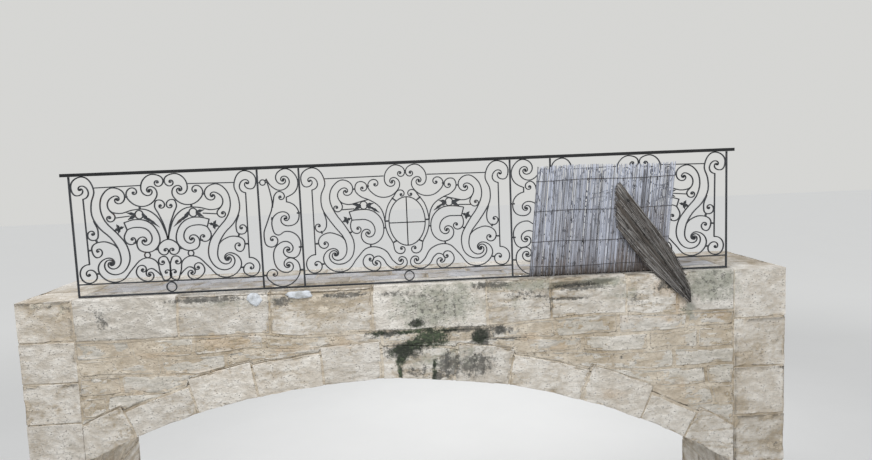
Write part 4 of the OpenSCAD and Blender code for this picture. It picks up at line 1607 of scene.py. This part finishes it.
@dataclass
class Smith:
    """Forges the bars, rings, collars, leaves and blossoms of the railing's bays.

    The scrolls take the finish bars, and the collars, leaves and blossoms take trim.
    """

    bars: Material
    trim: Material
    stock: IronStock = IronStock()
    strap: Strap = Strap()
    leaf: Leaf = Leaf()
    ring_steps: int = 40
    oval_steps: int = 96
    boss_sides: int = 20
    fade: int = 14

    def build(self) -> None:
        """Builds the ironwork of every bay."""
        wide = (
            ("left_bay", SIDE, "left_end_post", "left_bay_post", "left_low_rail"),
            ("right_bay", SIDE, "right_bay_post", "right_end_post", "right_low_rail"),
            ("mid_bay", MID, "mid_left_post", "mid_right_post", "mid_low_rail"),
        )
        for name, panel, left, right, foot in wide:
            self.bay(name, panel, [Opening.between(panel, left, right, foot, hand, True) for hand in (1, -1)])
        narrow = (
            ("left_narrow", "left_bay_post", "mid_left_post", 1),
            ("right_narrow", "mid_right_post", "right_bay_post", -1),
        )
        for name, left, right, hand in narrow:
            self.bay(name, NARROW, [Opening.between(NARROW, left, right, "sill_bar", hand, False)])

    def bay(self, name: str, panel: Panel, openings: Sequence[Opening]) -> None:
        """Builds one bay's scrolls, collars and leaves, once for each opening.

        Args:
            name: the bay's name, as its nodes have it.
            panel: its drawing.
            openings: the opening of the drawing, and of its mirror image if it has one.
        """
        scrolls, collars, leaves = MeshBag(), MeshBag(), MeshBag()
        for o in openings:
            self._scrolls(scrolls, panel, o)
            for x, z, turn in panel.collars:
                self._collar(collars, o, (x, z), turn)
            for root, tip, width in panel.leaves:
                self._leaf(leaves, o, root, tip, width)
            if panel.blossom:
                centre, tips = panel.blossom
                for tip in tips:
                    self._leaf(leaves, o, centre, tip, self.leaf.petal)
                self._turn(leaves, o, centre, self._boss(), forward=True)
        if panel is MID:
            self._ring(scrolls, openings[0], OVAL, self.oval_steps)
        kinds = (
            (scrolls, "scrolls", "scrolls", "iron_scrolls", self.bars, 50.0),
            (collars, "collars", "collars", "iron_collars", self.trim, 42.0),
            (leaves, "leaves", "rosettes", "iron_collars", self.trim, 60.0),
        )
        for bag, kind, node, slot, finish, sharp in kinds:
            if bag.count:
                finish_piece(bag.build(f"{name}_forged_{kind}", finish, sharp), slot, f"{name}_{node}")

    def _section(self) -> Array:
        """Works out the bar's section with its rounded corners.

        Returns:
            Its corners, across and deep, one row each.
        """
        w, d, c = self.stock.width / 2, self.stock.depth / 2, self.stock.corner
        corners = ((w - c, d - c, 0), (c - w, d - c, 90), (c - w, c - d, 180), (w - c, c - d, 270))
        return np.array([(x, y) + c * compass(start + a) for x, y, start in corners for a in (0, 90)])

    def _sweep(self, bag: MeshBag, drawn: Array, o: Opening, taper: Array, closed: bool = False) -> None:
        """Sweeps the bar's section along a line.

        Args:
            bag: where the bar goes.
            drawn: its centre line, in drawing places.
            o: the opening it is fitted to.
            taper: the bar's width at each point, as a share of the stock.
            closed: whether the line runs back into itself.
        """
        line = o.fit(drawn)
        ahead = np.roll(line, -1, axis=0) - np.roll(line, 1, axis=0) if closed else np.gradient(line, axis=0)
        way = unit(ahead)
        across = np.stack([-way[:, 1], way[:, 0]], -1)
        section = self._section()
        off = section[None, :, 0] * taper[:, None]
        flat = line[:, None, :] + across[:, None, :] * off[..., None]
        y = np.broadcast_to(section[None, :, 1], off.shape)
        points = o.stand(flat[..., 0].ravel(), y.ravel(), flat[..., 1].ravel())
        o.add(bag, points, loft_faces(len(line), len(section), closed))

    def _scrolls(self, bag: MeshBag, panel: Panel, o: Opening) -> None:
        """Forges every bar, straight and ring of a drawing.

        Args:
            bag: where they go.
            panel: the drawing.
            o: the opening it is fitted to.
        """
        for first, via, last in panel.bars:
            line = BarLine(first, via, last, self.stock.eye).points
            drawn_out = np.interp(np.arange(len(line)), (0, self.fade), (self.stock.tip, 1.0))
            taper = np.ones(len(line))
            for end, order in ((first, 1), (last, -1)):
                if is_eye(end):
                    taper = np.minimum(taper, drawn_out[::order])
                    self._turn(bag, o, end[:2], self._eye())
            self._sweep(bag, line, o, taper)
        for a, b in panel.straights:
            line = np.linspace(a, b, 8)
            self._sweep(bag, line, o, np.ones(len(line)))
        for ring in panel.rings:
            self._ring(bag, o, ring, self.ring_steps)

    def _ring(self, bag: MeshBag, o: Opening, ring: Numbers, steps: int) -> None:
        """Forges a closed ring.

        Args:
            bag: where it goes.
            o: the opening it is fitted to.
            ring: its place in the drawing, half its width and half its height.
            steps: points on its line.
        """
        a = np.linspace(0, 2 * math.pi, steps, endpoint=False)
        line = np.array(ring[:2]) + np.array(ring[2:]) * np.stack([np.sin(a), np.cos(a)], -1)
        self._sweep(bag, line, o, np.ones(steps), closed=True)

    def _eye(self) -> list[tuple[float, float]]:
        """Works out the domed eye of a scroll, which is alike on both sides.

        Returns:
            The radius and the depth of each of its rings, from back to front.
        """
        radius, half = self.stock.eye + 1, self.stock.depth / 2 + 1
        dome = [(0.2, half + 0.6), (radius * 0.6, half + 0.3), (radius, half - 2.0)]
        return dome + [(r, -y) for r, y in reversed(dome)]

    def _boss(self) -> list[tuple[float, float]]:
        """Returns the rings of the boss in a blossom, from the face of the bars to the front."""
        r, y, rise = self.leaf.boss, -self.stock.depth / 2, self.leaf.boss_rise
        return [(0.2, y), (r, y), (r, y - rise * 0.45), (r * 0.75, y - rise * 0.85), (0.2, y - rise)]

    def _turn(
        self, bag: MeshBag, o: Opening, at: Numbers, profile: Sequence[Numbers], forward: bool = False
    ) -> None:
        """Turns a round piece from its profile.

        Args:
            bag: where it goes.
            o: the opening it is fitted to.
            at: its place in the drawing.
            profile: the radius and the depth of each of its rings.
            forward: whether the profile starts on the bar's face, as a boss does.
        """
        centre = o.fit(at)
        a = np.linspace(0, 2 * math.pi, self.boss_sides, endpoint=False)
        r, y = np.array(profile).T
        x = centre[0] + np.outer(r, np.cos(a))
        z = centre[1] + np.outer(r, np.sin(a))
        points = o.stand(x.ravel(), np.repeat(y, len(a)), z.ravel())
        o.add(bag, points, loft_faces(len(r), len(a)), turned=forward)

    def _collar(self, bag: MeshBag, o: Opening, at: Numbers, turn: float) -> None:
        """Wraps a strap with rounded edges round two bars.

        Args:
            bag: where it goes.
            o: the opening it is fitted to.
            at: its place in the drawing.
            turn: its angle in the drawing, in degrees.
        """
        x, z = o.fit(at)
        size, corner = np.array(self.strap.size), self.strap.corner
        flat, faces = block_skin([grid_lines(-s / 2, s / 2, self.strap.step, corner) for s in size])
        inner = np.clip(flat, -size / 2 + corner, size / 2 - corner)
        p = inner + unit(flat - inner) * corner
        groove = 1 - self.strap.groove * np.cos(p[:, 2] / size[2] * 2 * math.pi)
        u, v = p[:, 0] * groove, p[:, 2]
        c, s = compass(turn)
        o.add(bag, o.stand(x + u * c - v * s, p[:, 1] * groove, z + u * s + v * c), faces)

    def _leaf(self, bag: MeshBag, o: Opening, root: Numbers, tip: Numbers, width: float) -> None:
        """Beats a cupped, ribbed leaf out of sheet, seated on the front of the bars.

        Args:
            bag: where it goes.
            o: the opening it is fitted to.
            root: the place of its root in the drawing.
            tip: the place of its tip.
            width: its width.
        """
        leaf = self.leaf
        s, t = np.meshgrid(np.linspace(0, 1, leaf.rows), np.linspace(-1, 1, leaf.columns), indexing="ij")
        start = o.fit(root)
        along = o.fit(tip) - start
        side = unit(np.array([-along[1], along[0]]))
        lobes = 1 + 0.16 * np.sin(s * leaf.lobes * math.pi)
        half = np.maximum(width / 2 * np.sin(math.pi * s**0.7) * lobes, leaf.tip)
        x = start[0] + along[0] * s + side[0] * half * t
        z = start[1] + along[1] * s + side[1] * half * t
        cup = leaf.cup * np.sin(math.pi * s * 0.85) * (0.35 + 0.65 * t**2)
        lift = self.stock.depth / 2 + leaf.seat + cup + leaf.rib * (abs(t) < 0.2)
        front = o.stand(x.ravel(), -(lift + leaf.sheet).ravel(), z.ravel())
        back = o.stand(x.ravel(), -lift.ravel(), z.ravel())
        number = np.arange(s.size).reshape(s.shape)
        quads, rim = grid_quads(number), grid_rim(number)
        walls = np.stack([rim + s.size, np.roll(rim, -1) + s.size, np.roll(rim, -1), rim], -1)
        faces = np.concatenate([quads, quads[:, ::-1] + s.size, walls])
        o.add(bag, np.concatenate([front, back]), faces.tolist())


@dataclass
class RailFrame:
    """The posts, the handrail, the sill bar and the low rails, hammered out of square bar.

    The handrail has a finish of its own, darker from many hands.
    """

    iron: Material
    rail: Material
    names: tuple[str, ...] = (
        "handrail", "sill_bar", "left_low_rail", "mid_low_rail", "right_low_rail", "left_end_post",
        "left_bay_post", "mid_left_post", "mid_right_post", "right_bay_post", "right_end_post",
    )
    corner: float = 0.0022
    hammered: float = 0.0011
    step: float = 0.030

    def build(self) -> None:
        """Builds every bar on the place of its solid."""
        noise = Noise(17)
        for name in self.names:
            low, high = (np.array(corner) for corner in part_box(name))
            flat, faces = block_skin([grid_lines(low[k], high[k], self.step, self.corner) for k in range(3)])
            inner = np.clip(flat, low + self.corner, high - self.corner)
            dents = 0.5 + 0.5 * noise.fractal(flat, 0.045, 2)
            bar = MeshBag()
            bar.add(inner + unit(flat - inner) * (self.corner - self.hammered * dents[:, None]), faces)
            finish = self.rail if name == "handrail" else self.iron
            finish_piece(bar.build(name + "_bar", finish, 42.0), "iron_frame", name)


def tube(line: Array, radii: Array, sides: int, start: float = 0.0) -> tuple[Array, Faces]:
    """Makes a closed tube along a line.

    Args:
        line: its centre line, one row each.
        radii: its radius at each point.
        sides: corners of its section.
        start: angle of the first corner.

    Returns:
        The tube's points and faces.
    """
    way = unit(np.gradient(line, axis=0))
    near = np.where(abs(way[:, 1:2]) < 0.9, [[0.0, 1.0, 0.0]], [[1.0, 0.0, 0.0]])
    right = unit(np.cross(way, near))
    up = np.cross(right, way)
    a = np.linspace(0, 2 * math.pi, sides, endpoint=False) + start
    ring = np.cos(a)[None, :, None] * right[:, None] + np.sin(a)[None, :, None] * up[:, None]
    points = (line[:, None] + ring * radii[:, None, None]).reshape(-1, 3)
    return points, [[f[0], *f[:0:-1]] for f in loft_faces(len(line), sides)]


@dataclass(frozen=True)
class BundleShape:
    """The loose bundle's size, its place over the floor's edge and its outline, as in its solid."""

    length: float = 1.130
    width: float = 0.285
    thick: float = 0.040
    slope: float = 58.0
    lean: float = 4.882
    head_x: float = 3872 + 492
    head_z: float = 0.721
    right: Rows = ((0, 0.27, 0.56, 0.79, 0.95, 1.04), (0.26, 0.40, 0.50, 0.43, 0.28, 0.12))
    left: Rows = ((0, 0.40, 0.65, 0.81, 1.04), (-0.47, -0.5, -0.41, -0.18, 0.08))

    def across(self, t: Array, share: float) -> Array:
        """Returns how far off the axis, in metres, a stem at a share of the bundle's width lies along it."""
        low, high = np.interp(t, *self.left), np.interp(t, *self.right)
        return self.width * (low + (high - low) * share)


@dataclass
class ReedWork:
    """The screen of reeds tied to the railing, its wires, and the loose brown bundle.

    Lengths are in metres. The rows are the heights of the wires, as shares of the screen's.
    """

    gallery: Gallery
    reed: Material
    brown: Material
    wire: Material
    lean: float = 0.095
    pitch: float = 0.0060
    rows: tuple[float, ...] = (0.085, 0.31, 0.585, 0.855)
    seam: float = 0.108
    margin: float = 0.003
    skin: float = 0.0022
    thread: float = 0.0019
    weave: float = 0.0050
    ties: int = 7
    under: int = 420
    over: int = 380
    shape: BundleShape = BundleShape()
    seed: int = 90

    def __post_init__(self) -> None:
        """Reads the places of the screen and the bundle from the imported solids."""
        self.luck = np.random.default_rng(self.seed)
        self.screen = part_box("reed_screen")
        self.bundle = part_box("reed_bundle")
        self.height = self.screen[1].z - self.gallery.floor

    def build(self) -> None:
        """Builds the screen, its wires and the bundle."""
        self.build_screen()
        self.build_wires()
        self.build_bundle()

    def _stem(self, bag: MeshBag, line: Array, radius: float, sides: int, **paint: Array | float) -> None:
        """Adds one reed with swollen nodes and a slight taper.

        Args:
            bag: where it goes.
            line: its centre line.
            radius: its radius.
            sides: corners of its section.
            paint: values painted on its corners, one for each or one for all.
        """
        steps = len(line)
        along = np.linspace(0, 1, steps)
        every = self.luck.uniform(0.16, 0.26)
        knot = np.exp(-(((along / every + self.luck.random()) % 1 - 0.5) / 0.07) ** 2)
        radii = radius * (1.08 - 0.25 * along + 0.22 * knot)
        points, faces = tube(line, radii, sides, self.luck.random())
        bag.add(points, faces, node=np.repeat(knot, sides), **paint)

    def build_screen(self) -> None:
        """Builds the screen's two layers of reeds, uneven at the top and the foot, with open seams."""
        low, high = self.screen
        bag = MeshBag()
        foot_l = high.x - low.x - self.lean
        count = int(foot_l / self.pitch)
        seams = np.arange(1, int(foot_l / self.seam)) * self.seam
        seams += self.luck.uniform(-0.018, 0.018, len(seams))
        for layer, depth in ((0, low.y + 0.0023), (1, high.y - 0.0023)):
            for k in range(count):
                along = 0.003 + (k + 0.5 * layer) * (foot_l - 0.009) / (count - 1)
                if abs(seams - along).min() < 0.0024 or self.luck.random() < 0.008:
                    continue
                self._reed(bag, along, along / foot_l, depth, layer)
        finish_piece(bag.build("reed_screen_stems", self.reed), "reed", "reed_screen")

    def _reed(self, bag: MeshBag, along: float, share: float, depth: float, layer: int) -> None:
        """Adds one reed of the screen.

        Args:
            bag: where it goes.
            along: how far it stands from the screen's left end, in metres.
            share: the same, as a share of the screen's length.
            depth: its place, front to back.
            layer: 0 for the front layer and 1 for the back one, which is sparser at the top.
        """
        low, high = self.screen
        floor, steps = self.gallery.floor, 11
        z0 = floor + 0.002 + 0.016 * self.luck.random()
        top = floor + self.height - 0.002 - 0.007 * (1 - math.sin(share * 6.1))
        z1 = top - 0.014 * self.luck.random() ** 2
        if self.luck.random() < (0.6 if layer else 0.3):
            z1 -= self.luck.uniform(0.01, 0.13 if layer else 0.06)
        t = np.linspace(0, 1, steps)
        z = z0 + (z1 - z0) * t
        drift = np.cumsum(self.luck.normal(0, 0.0006, steps)) + self.luck.normal(0, 0.003) * (t - 0.5)
        x = low.x + along + self.lean * (z - floor) / self.height + drift
        y = depth + np.cumsum(self.luck.normal(0, 0.0002, steps))
        x = np.clip(x, low.x + self.margin, high.x - self.margin)
        line = np.stack([x, np.clip(y, low.y + self.skin, high.y - self.skin), z], -1)
        right = smooth(0.40, 0.9, np.array(share))
        worn = 0.58 * (1 - t) + 0.45 * right * (1 - t) + 0.3 * smooth(0.86, 1.0, 1 - t)
        stain = np.repeat(worn * self.luck.uniform(0.3, 1.0), 6)
        self._stem(bag, line, self.luck.uniform(0.0022, 0.0032), 6, tone=self.luck.random(), stain=stain)

    def build_wires(self) -> None:
        """Weaves two wires round the reeds along each row, and ties them back at even steps."""
        low, high = self.screen
        length = high.x - low.x - self.lean
        steps = int(length / 0.008)
        t = np.linspace(0, 1, steps)
        twist = np.linspace(0, 1, 9)
        bag = MeshBag()
        for share in self.rows:
            z = self.gallery.floor + share * self.height + 0.006
            start = low.x + self.lean * share
            sag = 0.004 * np.sin(t * 9 + share * 20)
            for side in (-1, 1):
                wave = side * self.weave * (0.85 + 0.15 * np.cos(np.arange(steps) * math.pi * 0.5))
                y = (low.y + high.y) / 2 + wave
                line = np.stack([start + t * length, y, z + sag + side * 0.0012], -1)
                bag.add(*tube(line, np.full(steps, self.thread), 5))
            for k in range(1, self.ties + 1):
                x = start + length * k / (self.ties + 1) + 0.006 * np.sin(twist * 12)
                y = low.y + 0.001 - 0.002 * np.sin(twist * math.pi)
                bag.add(*tube(np.stack([x, y, z - 0.03 * twist], -1), np.full(len(twist), self.thread), 5))
        finish_piece(bag.build("screen_tie_wires", self.wire), "wire", "screen_wires")

    def build_bundle(self) -> None:
        """Builds the loose bundle of brown stems, broken off along its left edge and ragged at its foot."""
        bag = MeshBag()
        for k in range(self.under + self.over):
            share = self.luck.random()
            layer = 0.55 * self.luck.random() if k < self.under else self.luck.uniform(0.65, 1.0)
            start = 0.26 * (1 - share) ** 1.5
            if self.luck.random() < 0.45:
                t0 = start + 0.07 * self.luck.random() ** 2
                t1 = 1.0 - 0.30 * self.luck.random() ** 1.4
            else:
                t0 = self.luck.uniform(start, 0.62)
                t1 = t0 + self.luck.uniform(0.28, 0.5)
            self._loose_stem(bag, share, layer, t0, min(t1, 1.03))
        finish_piece(bag.build("reed_bundle_stems", self.brown), "brown_reed", "reed_bundle")

    def _loose_stem(self, bag: MeshBag, share: float, layer: float, t0: float, t1: float) -> None:
        """Adds one stem of the bundle.

        Args:
            bag: where it goes.
            share: where it lies across the bundle, from 0 to 1.
            layer: how high it lies in the bundle, from 0 at the screen's side to 1 in front.
            t0: where it starts along the bundle, from 0 at the head.
            t1: where it ends.
        """
        g, shape = self.gallery, self.shape
        low, high = self.bundle
        slope, tilt = math.radians(shape.slope), math.radians(shape.lean)
        t = np.linspace(t0, t1, 9)
        stray = np.cumsum(self.luck.normal(0, 0.0007, len(t))) + self.luck.normal(0, 0.024) * (t - 0.5)
        chord = np.interp(t, (t0, t1), shape.across(np.array([t0, t1]), share))
        off = 0.8 * chord + 0.2 * shape.across(t, share) + stray
        crown = 0.30 + 0.70 * math.sin(math.pi * min(max(share, 0.04), 0.96)) ** 0.6
        crease = 1 - 0.65 * math.exp(-((share - 0.52) / 0.035) ** 2)
        lift = shape.thick * (0.07 + 0.84 * layer * crown * crease) + 0.002 * np.sin(t * 6 + share * 40)
        u = g.along(shape.head_x) + math.cos(slope) * t * shape.length + math.sin(slope) * off
        v = shape.head_z - math.sin(slope) * t * shape.length + math.cos(slope) * off
        y = g.front - 0.0003 + v * math.sin(tilt) - lift * math.cos(tilt)
        z = g.floor + v * math.cos(tilt) + lift * math.sin(tilt)
        u = np.clip(u, low.x + self.margin, high.x - self.margin)
        line = np.stack([u, np.clip(y, low.y + self.margin, high.y - 0.002), z], -1)
        # Painted shade: the stems of the lower layer get a darker tone, standing in for the shade between the
        # stems.
        tone = 0.4 * self.luck.random() if layer < 0.6 else self.luck.random()
        radius = self.luck.uniform(0.0012, 0.0026)
        self._stem(bag, line, radius, 5, tone=tone, stain=0.8 * self.luck.random())


@dataclass
class LimeLumps:
    """Two lumps of lime mortar thrown on the front blocks.

    A lump is its place along the railing in millimetres, half its length and half its height in metres,
    and how much it narrows to a tip at its foot.
    """

    gallery: Gallery
    lime: Material
    lumps: Rows = ((1412, 0.070, 0.060, 0.75), (1781, 0.117, 0.035, 0.15))
    sides: int = 48
    rings: int = 16
    seat: float = 0.014
    swell: float = 0.015

    def build(self) -> None:
        """Builds both lumps on the places of their solids."""
        noise = Noise(61)
        bag = MeshBag()
        for lump in self.lumps:
            self._throw(bag, noise, lump)
        finish_piece(bag.build("lime_lumps", self.lime), "lime", "lime_patches")

    def _throw(self, bag: MeshBag, noise: Noise, lump: Numbers) -> None:
        """Adds one lump.

        Args:
            bag: where it goes.
            noise: the bumps of its outline and its face.
            lump: its place and sizes.
        """
        g = self.gallery
        along, half, half_z, slant = lump
        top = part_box("lime_patches")[1].z
        round_ = np.linspace(0, 2 * math.pi, self.sides, endpoint=False)
        u, v = np.meshgrid(round_, np.linspace(0, 1, self.rings))
        r = v.ravel()
        rim = np.stack([np.cos(u).ravel(), np.zeros(r.size), np.sin(u).ravel()], -1)
        edge = np.minimum(0.92 + 0.28 * noise.fractal(rim * 0.9 + along, 0.35, layers=4), 1.0) * r
        drop = edge * np.sign(rim[:, 2]) * abs(rim[:, 2]) ** 0.8
        broad = edge * np.sign(rim[:, 0]) * abs(rim[:, 0]) ** 0.8
        tip = np.clip(-drop, 0, 1)
        x = g.along(along) + half * (broad * (1 - slant * tip) + 0.45 * slant * tip)
        p = np.stack([x, np.zeros(r.size), top - half_z * (1 - np.minimum(drop, 0.94))], -1)
        swell = np.sqrt(np.clip(1 - r**2.5, 0, 1)) * (1.0 + 0.6 * noise.fractal(p, 0.03, layers=3))
        p[:, 1] = g.front + 0.008 - self.swell * swell
        back = p.copy()
        back[:, 1] = g.front + self.seat
        number = np.arange(r.size).reshape(u.shape)
        after = np.roll(number, -1, axis=1)
        quads = np.stack([number[1:], after[1:], after[:-1], number[:-1]], -1).reshape(-1, 4)
        sides = np.stack([number[-1], after[-1], after[-1] + r.size, number[-1] + r.size], -1)
        faces = np.concatenate([quads, quads[:, ::-1] + r.size, sides])
        bag.add(np.concatenate([p, back]), faces.tolist())


@dataclass(frozen=True)
class Studio:
    """The plain floor, the soft light and the camera."""

    eye: Triple = (-0.023, -5.998, 4.597)
    pitch: float = 5.832
    roll: float = 2.245
    yaw: float = 2.646
    lens: float = 28.07
    backdrop: Colour = (0.86, 0.86, 0.84)
    floor_dark: Colour = (0.76, 0.76, 0.75)
    floor_pale: Colour = (0.82, 0.82, 0.81)
    sky: Colour = (0.88, 0.90, 0.93)
    reach: float = 60.0
    floor_z: float = -0.002
    floor_glow: float = 0.41
    sky_strength: float = 0.40
    backdrop_strength: float = 0.78

    def build(self) -> None:
        """Builds the floor, the lights and the camera."""
        self._floor()
        self._sky()
        self._lamp("key_light", at=(-1.8, -4.6, 10.5), to=(0.0, -0.3, 3.4), size=3.0, power=680.0)
        self._lamp("fill_light", at=(6.0, -8.0, 5.0), to=(0.5, 0.0, 3.4), size=6.0, power=130.0)
        self._lamp("back_light", at=(1.5, 8.5, 7.0), to=(0.0, 0.0, 3.8), size=5.0, power=430.0)
        self._camera()

    def _floor(self) -> None:
        """Lays a pale floor that isn't part of the object and fades into the backdrop."""
        bag = MeshBag()
        turns = ((-1, -1), (1, -1), (1, 1), (-1, 1))
        bag.add(np.array([(x * self.reach, y * self.reach, self.floor_z) for x, y in turns]), [[0, 1, 2, 3]])
        t = Tree("pale_floor")
        colour = t.mix(t.noise(0.6, detail=3.0), self.floor_dark, self.floor_pale)
        away = t.out("ShaderNodeVectorMath", {"operation": "LENGTH"}, {0: t.place()}, "Value")
        far = t.mix(away.step(low=3.0, high=20.0), BLACK, self.backdrop)
        glow = {"Emission_Color": far, "Emission_Strength": self.floor_glow}
        pale = t.surface(Base_Color=colour, Roughness=0.9, **glow)
        bag.build("studio_floor", pale)

    def _sky(self) -> None:
        """Lights the scene softly from all round."""
        world = bpy.data.worlds.new("soft_sky")
        world.use_nodes = True
        nodes, links = world.node_tree.nodes, world.node_tree.links
        soft = nodes["Background"]
        soft.inputs["Color"].default_value = (*self.sky, 1.0)
        soft.inputs["Strength"].default_value = self.sky_strength
        wall = nodes.new("ShaderNodeBackground")
        wall.inputs["Color"].default_value = (*self.backdrop, 1.0)
        wall.inputs["Strength"].default_value = self.backdrop_strength
        rays, blend = nodes.new("ShaderNodeLightPath"), nodes.new("ShaderNodeMixShader")
        links.new(rays.outputs["Is Camera Ray"], blend.inputs[0])
        links.new(soft.outputs[0], blend.inputs[1])
        links.new(wall.outputs[0], blend.inputs[2])
        links.new(blend.outputs[0], nodes["World Output"].inputs["Surface"])
        bpy.context.scene.world = world
        bpy.context.scene.view_settings.view_transform = "Standard"

    def _lamp(self, name: str, at: Numbers, to: Numbers, size: float, power: float) -> None:
        """Hangs a large soft lamp.

        Args:
            name: its name.
            at: where it hangs.
            to: what it faces.
            size: the side of its square.
            power: its power in watts.
        """
        light = bpy.data.lights.new(name, "AREA")
        light.shape = "SQUARE"
        light.size = size
        light.energy = power
        lamp = bpy.data.objects.new(name, light)
        lamp.location = at
        lamp.rotation_euler = (Vector(to) - Vector(at)).to_track_quat("-Z", "Y").to_euler()
        bpy.context.scene.collection.objects.link(lamp)

    def _camera(self) -> None:
        """Sets the camera where the picture was taken from."""
        data = bpy.data.cameras.new("camera")
        data.sensor_width = 36.0
        data.lens = self.lens
        data.clip_end = 200.0
        camera = bpy.data.objects.new("camera", data)
        turn = Matrix.Rotation(math.radians(-self.yaw), 4, "Z")
        tip = Matrix.Rotation(math.radians(90 - self.pitch), 4, "X")
        rock = Matrix.Rotation(math.radians(-self.roll), 4, "Z")
        camera.matrix_world = Matrix.Translation(self.eye) @ turn @ tip @ rock
        bpy.context.scene.collection.objects.link(camera)
        bpy.context.scene.camera = camera


def dress_frame(nodes: dict[str, bpy.types.Object], iron: Material, stone: Material) -> None:
    """Gives the solids that stay as they are their finish and worn edges.

    Args:
        nodes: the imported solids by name.
        iron: the finish of the frame's bars.
        stone: the finish of the hidden fill.
    """
    edge_width = 0.0016
    for name, o in nodes.items():
        if o.hide_render:
            continue
        o.data.materials.clear()
        o.data.materials.append(stone if name == "arch_fill" else iron)
        if name != "arch_fill":
            edges = o.modifiers.new("worn_edges", "BEVEL")
            edges.width = edge_width
            edges.segments = 2
            edges.limit_method = "ANGLE"
        LOG.info("%s keeps its solid", name)


def main() -> None:
    """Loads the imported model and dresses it."""
    logging.basicConfig(level=logging.INFO, format="%(name)s: %(message)s")
    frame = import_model()
    gallery = Gallery()
    rubble = Limestone("rubble_limestone", (0.63, 0.60, 0.55), (0.51, 0.475, 0.41), layered=0.4, hollow_earth_and_shade=0.66)
    stone = {
        "pier_stone": Limestone("pier_limestone").make(),
        "arch_stone": Limestone("arch_limestone").make(),
        "rubble_stone": rubble.make(),
        "edge_stone": Limestone("edge_limestone", deep=(0.52, 0.48, 0.42)).make(),
        "floor_stone": Limestone("floor_limestone", (0.52, 0.52, 0.54), (0.46, 0.46, 0.48)).make(),
    }
    mortar = Limestone("joint_mortar", (0.60, 0.54, 0.45), (0.46, 0.39, 0.30)).make()
    iron = OldIron("frame_iron").make()
    rail = OldIron("handrail_iron", (0.006, 0.0065, 0.007), (0.017, 0.018, 0.020), rusty=0.62).make()
    scroll, trim = OldIron("scroll_iron").make(), OldIron("trim_iron", rusty=0.56).make()
    reed = Cane("grey_reed", (0.48, 0.51, 0.595), (0.12, 0.12, 0.13), (0.155, 0.130, 0.118))
    # The bundle's nearly black deep colour is mostly painted shade, given to its lower stems.
    browns = ((0.31, 0.30, 0.29), (0.028, 0.027, 0.026), (0.085, 0.072, 0.060))
    brown = Cane("brown_reed", *browns, upright=1.0, own=0.95)
    Masonry(gallery, stone, mortar).build()
    RailFrame(iron, rail).build()
    Smith(scroll, trim).build()
    ReedWork(gallery, reed.make(), brown.make(), Wire("tie_wire").make()).build()
    LimeLumps(gallery, Mortar("white_lime").make()).build()
    dress_frame(frame["nodes"], iron, stone["rubble_stone"])
    Studio().build()


if __name__ == "__main__":
    main()
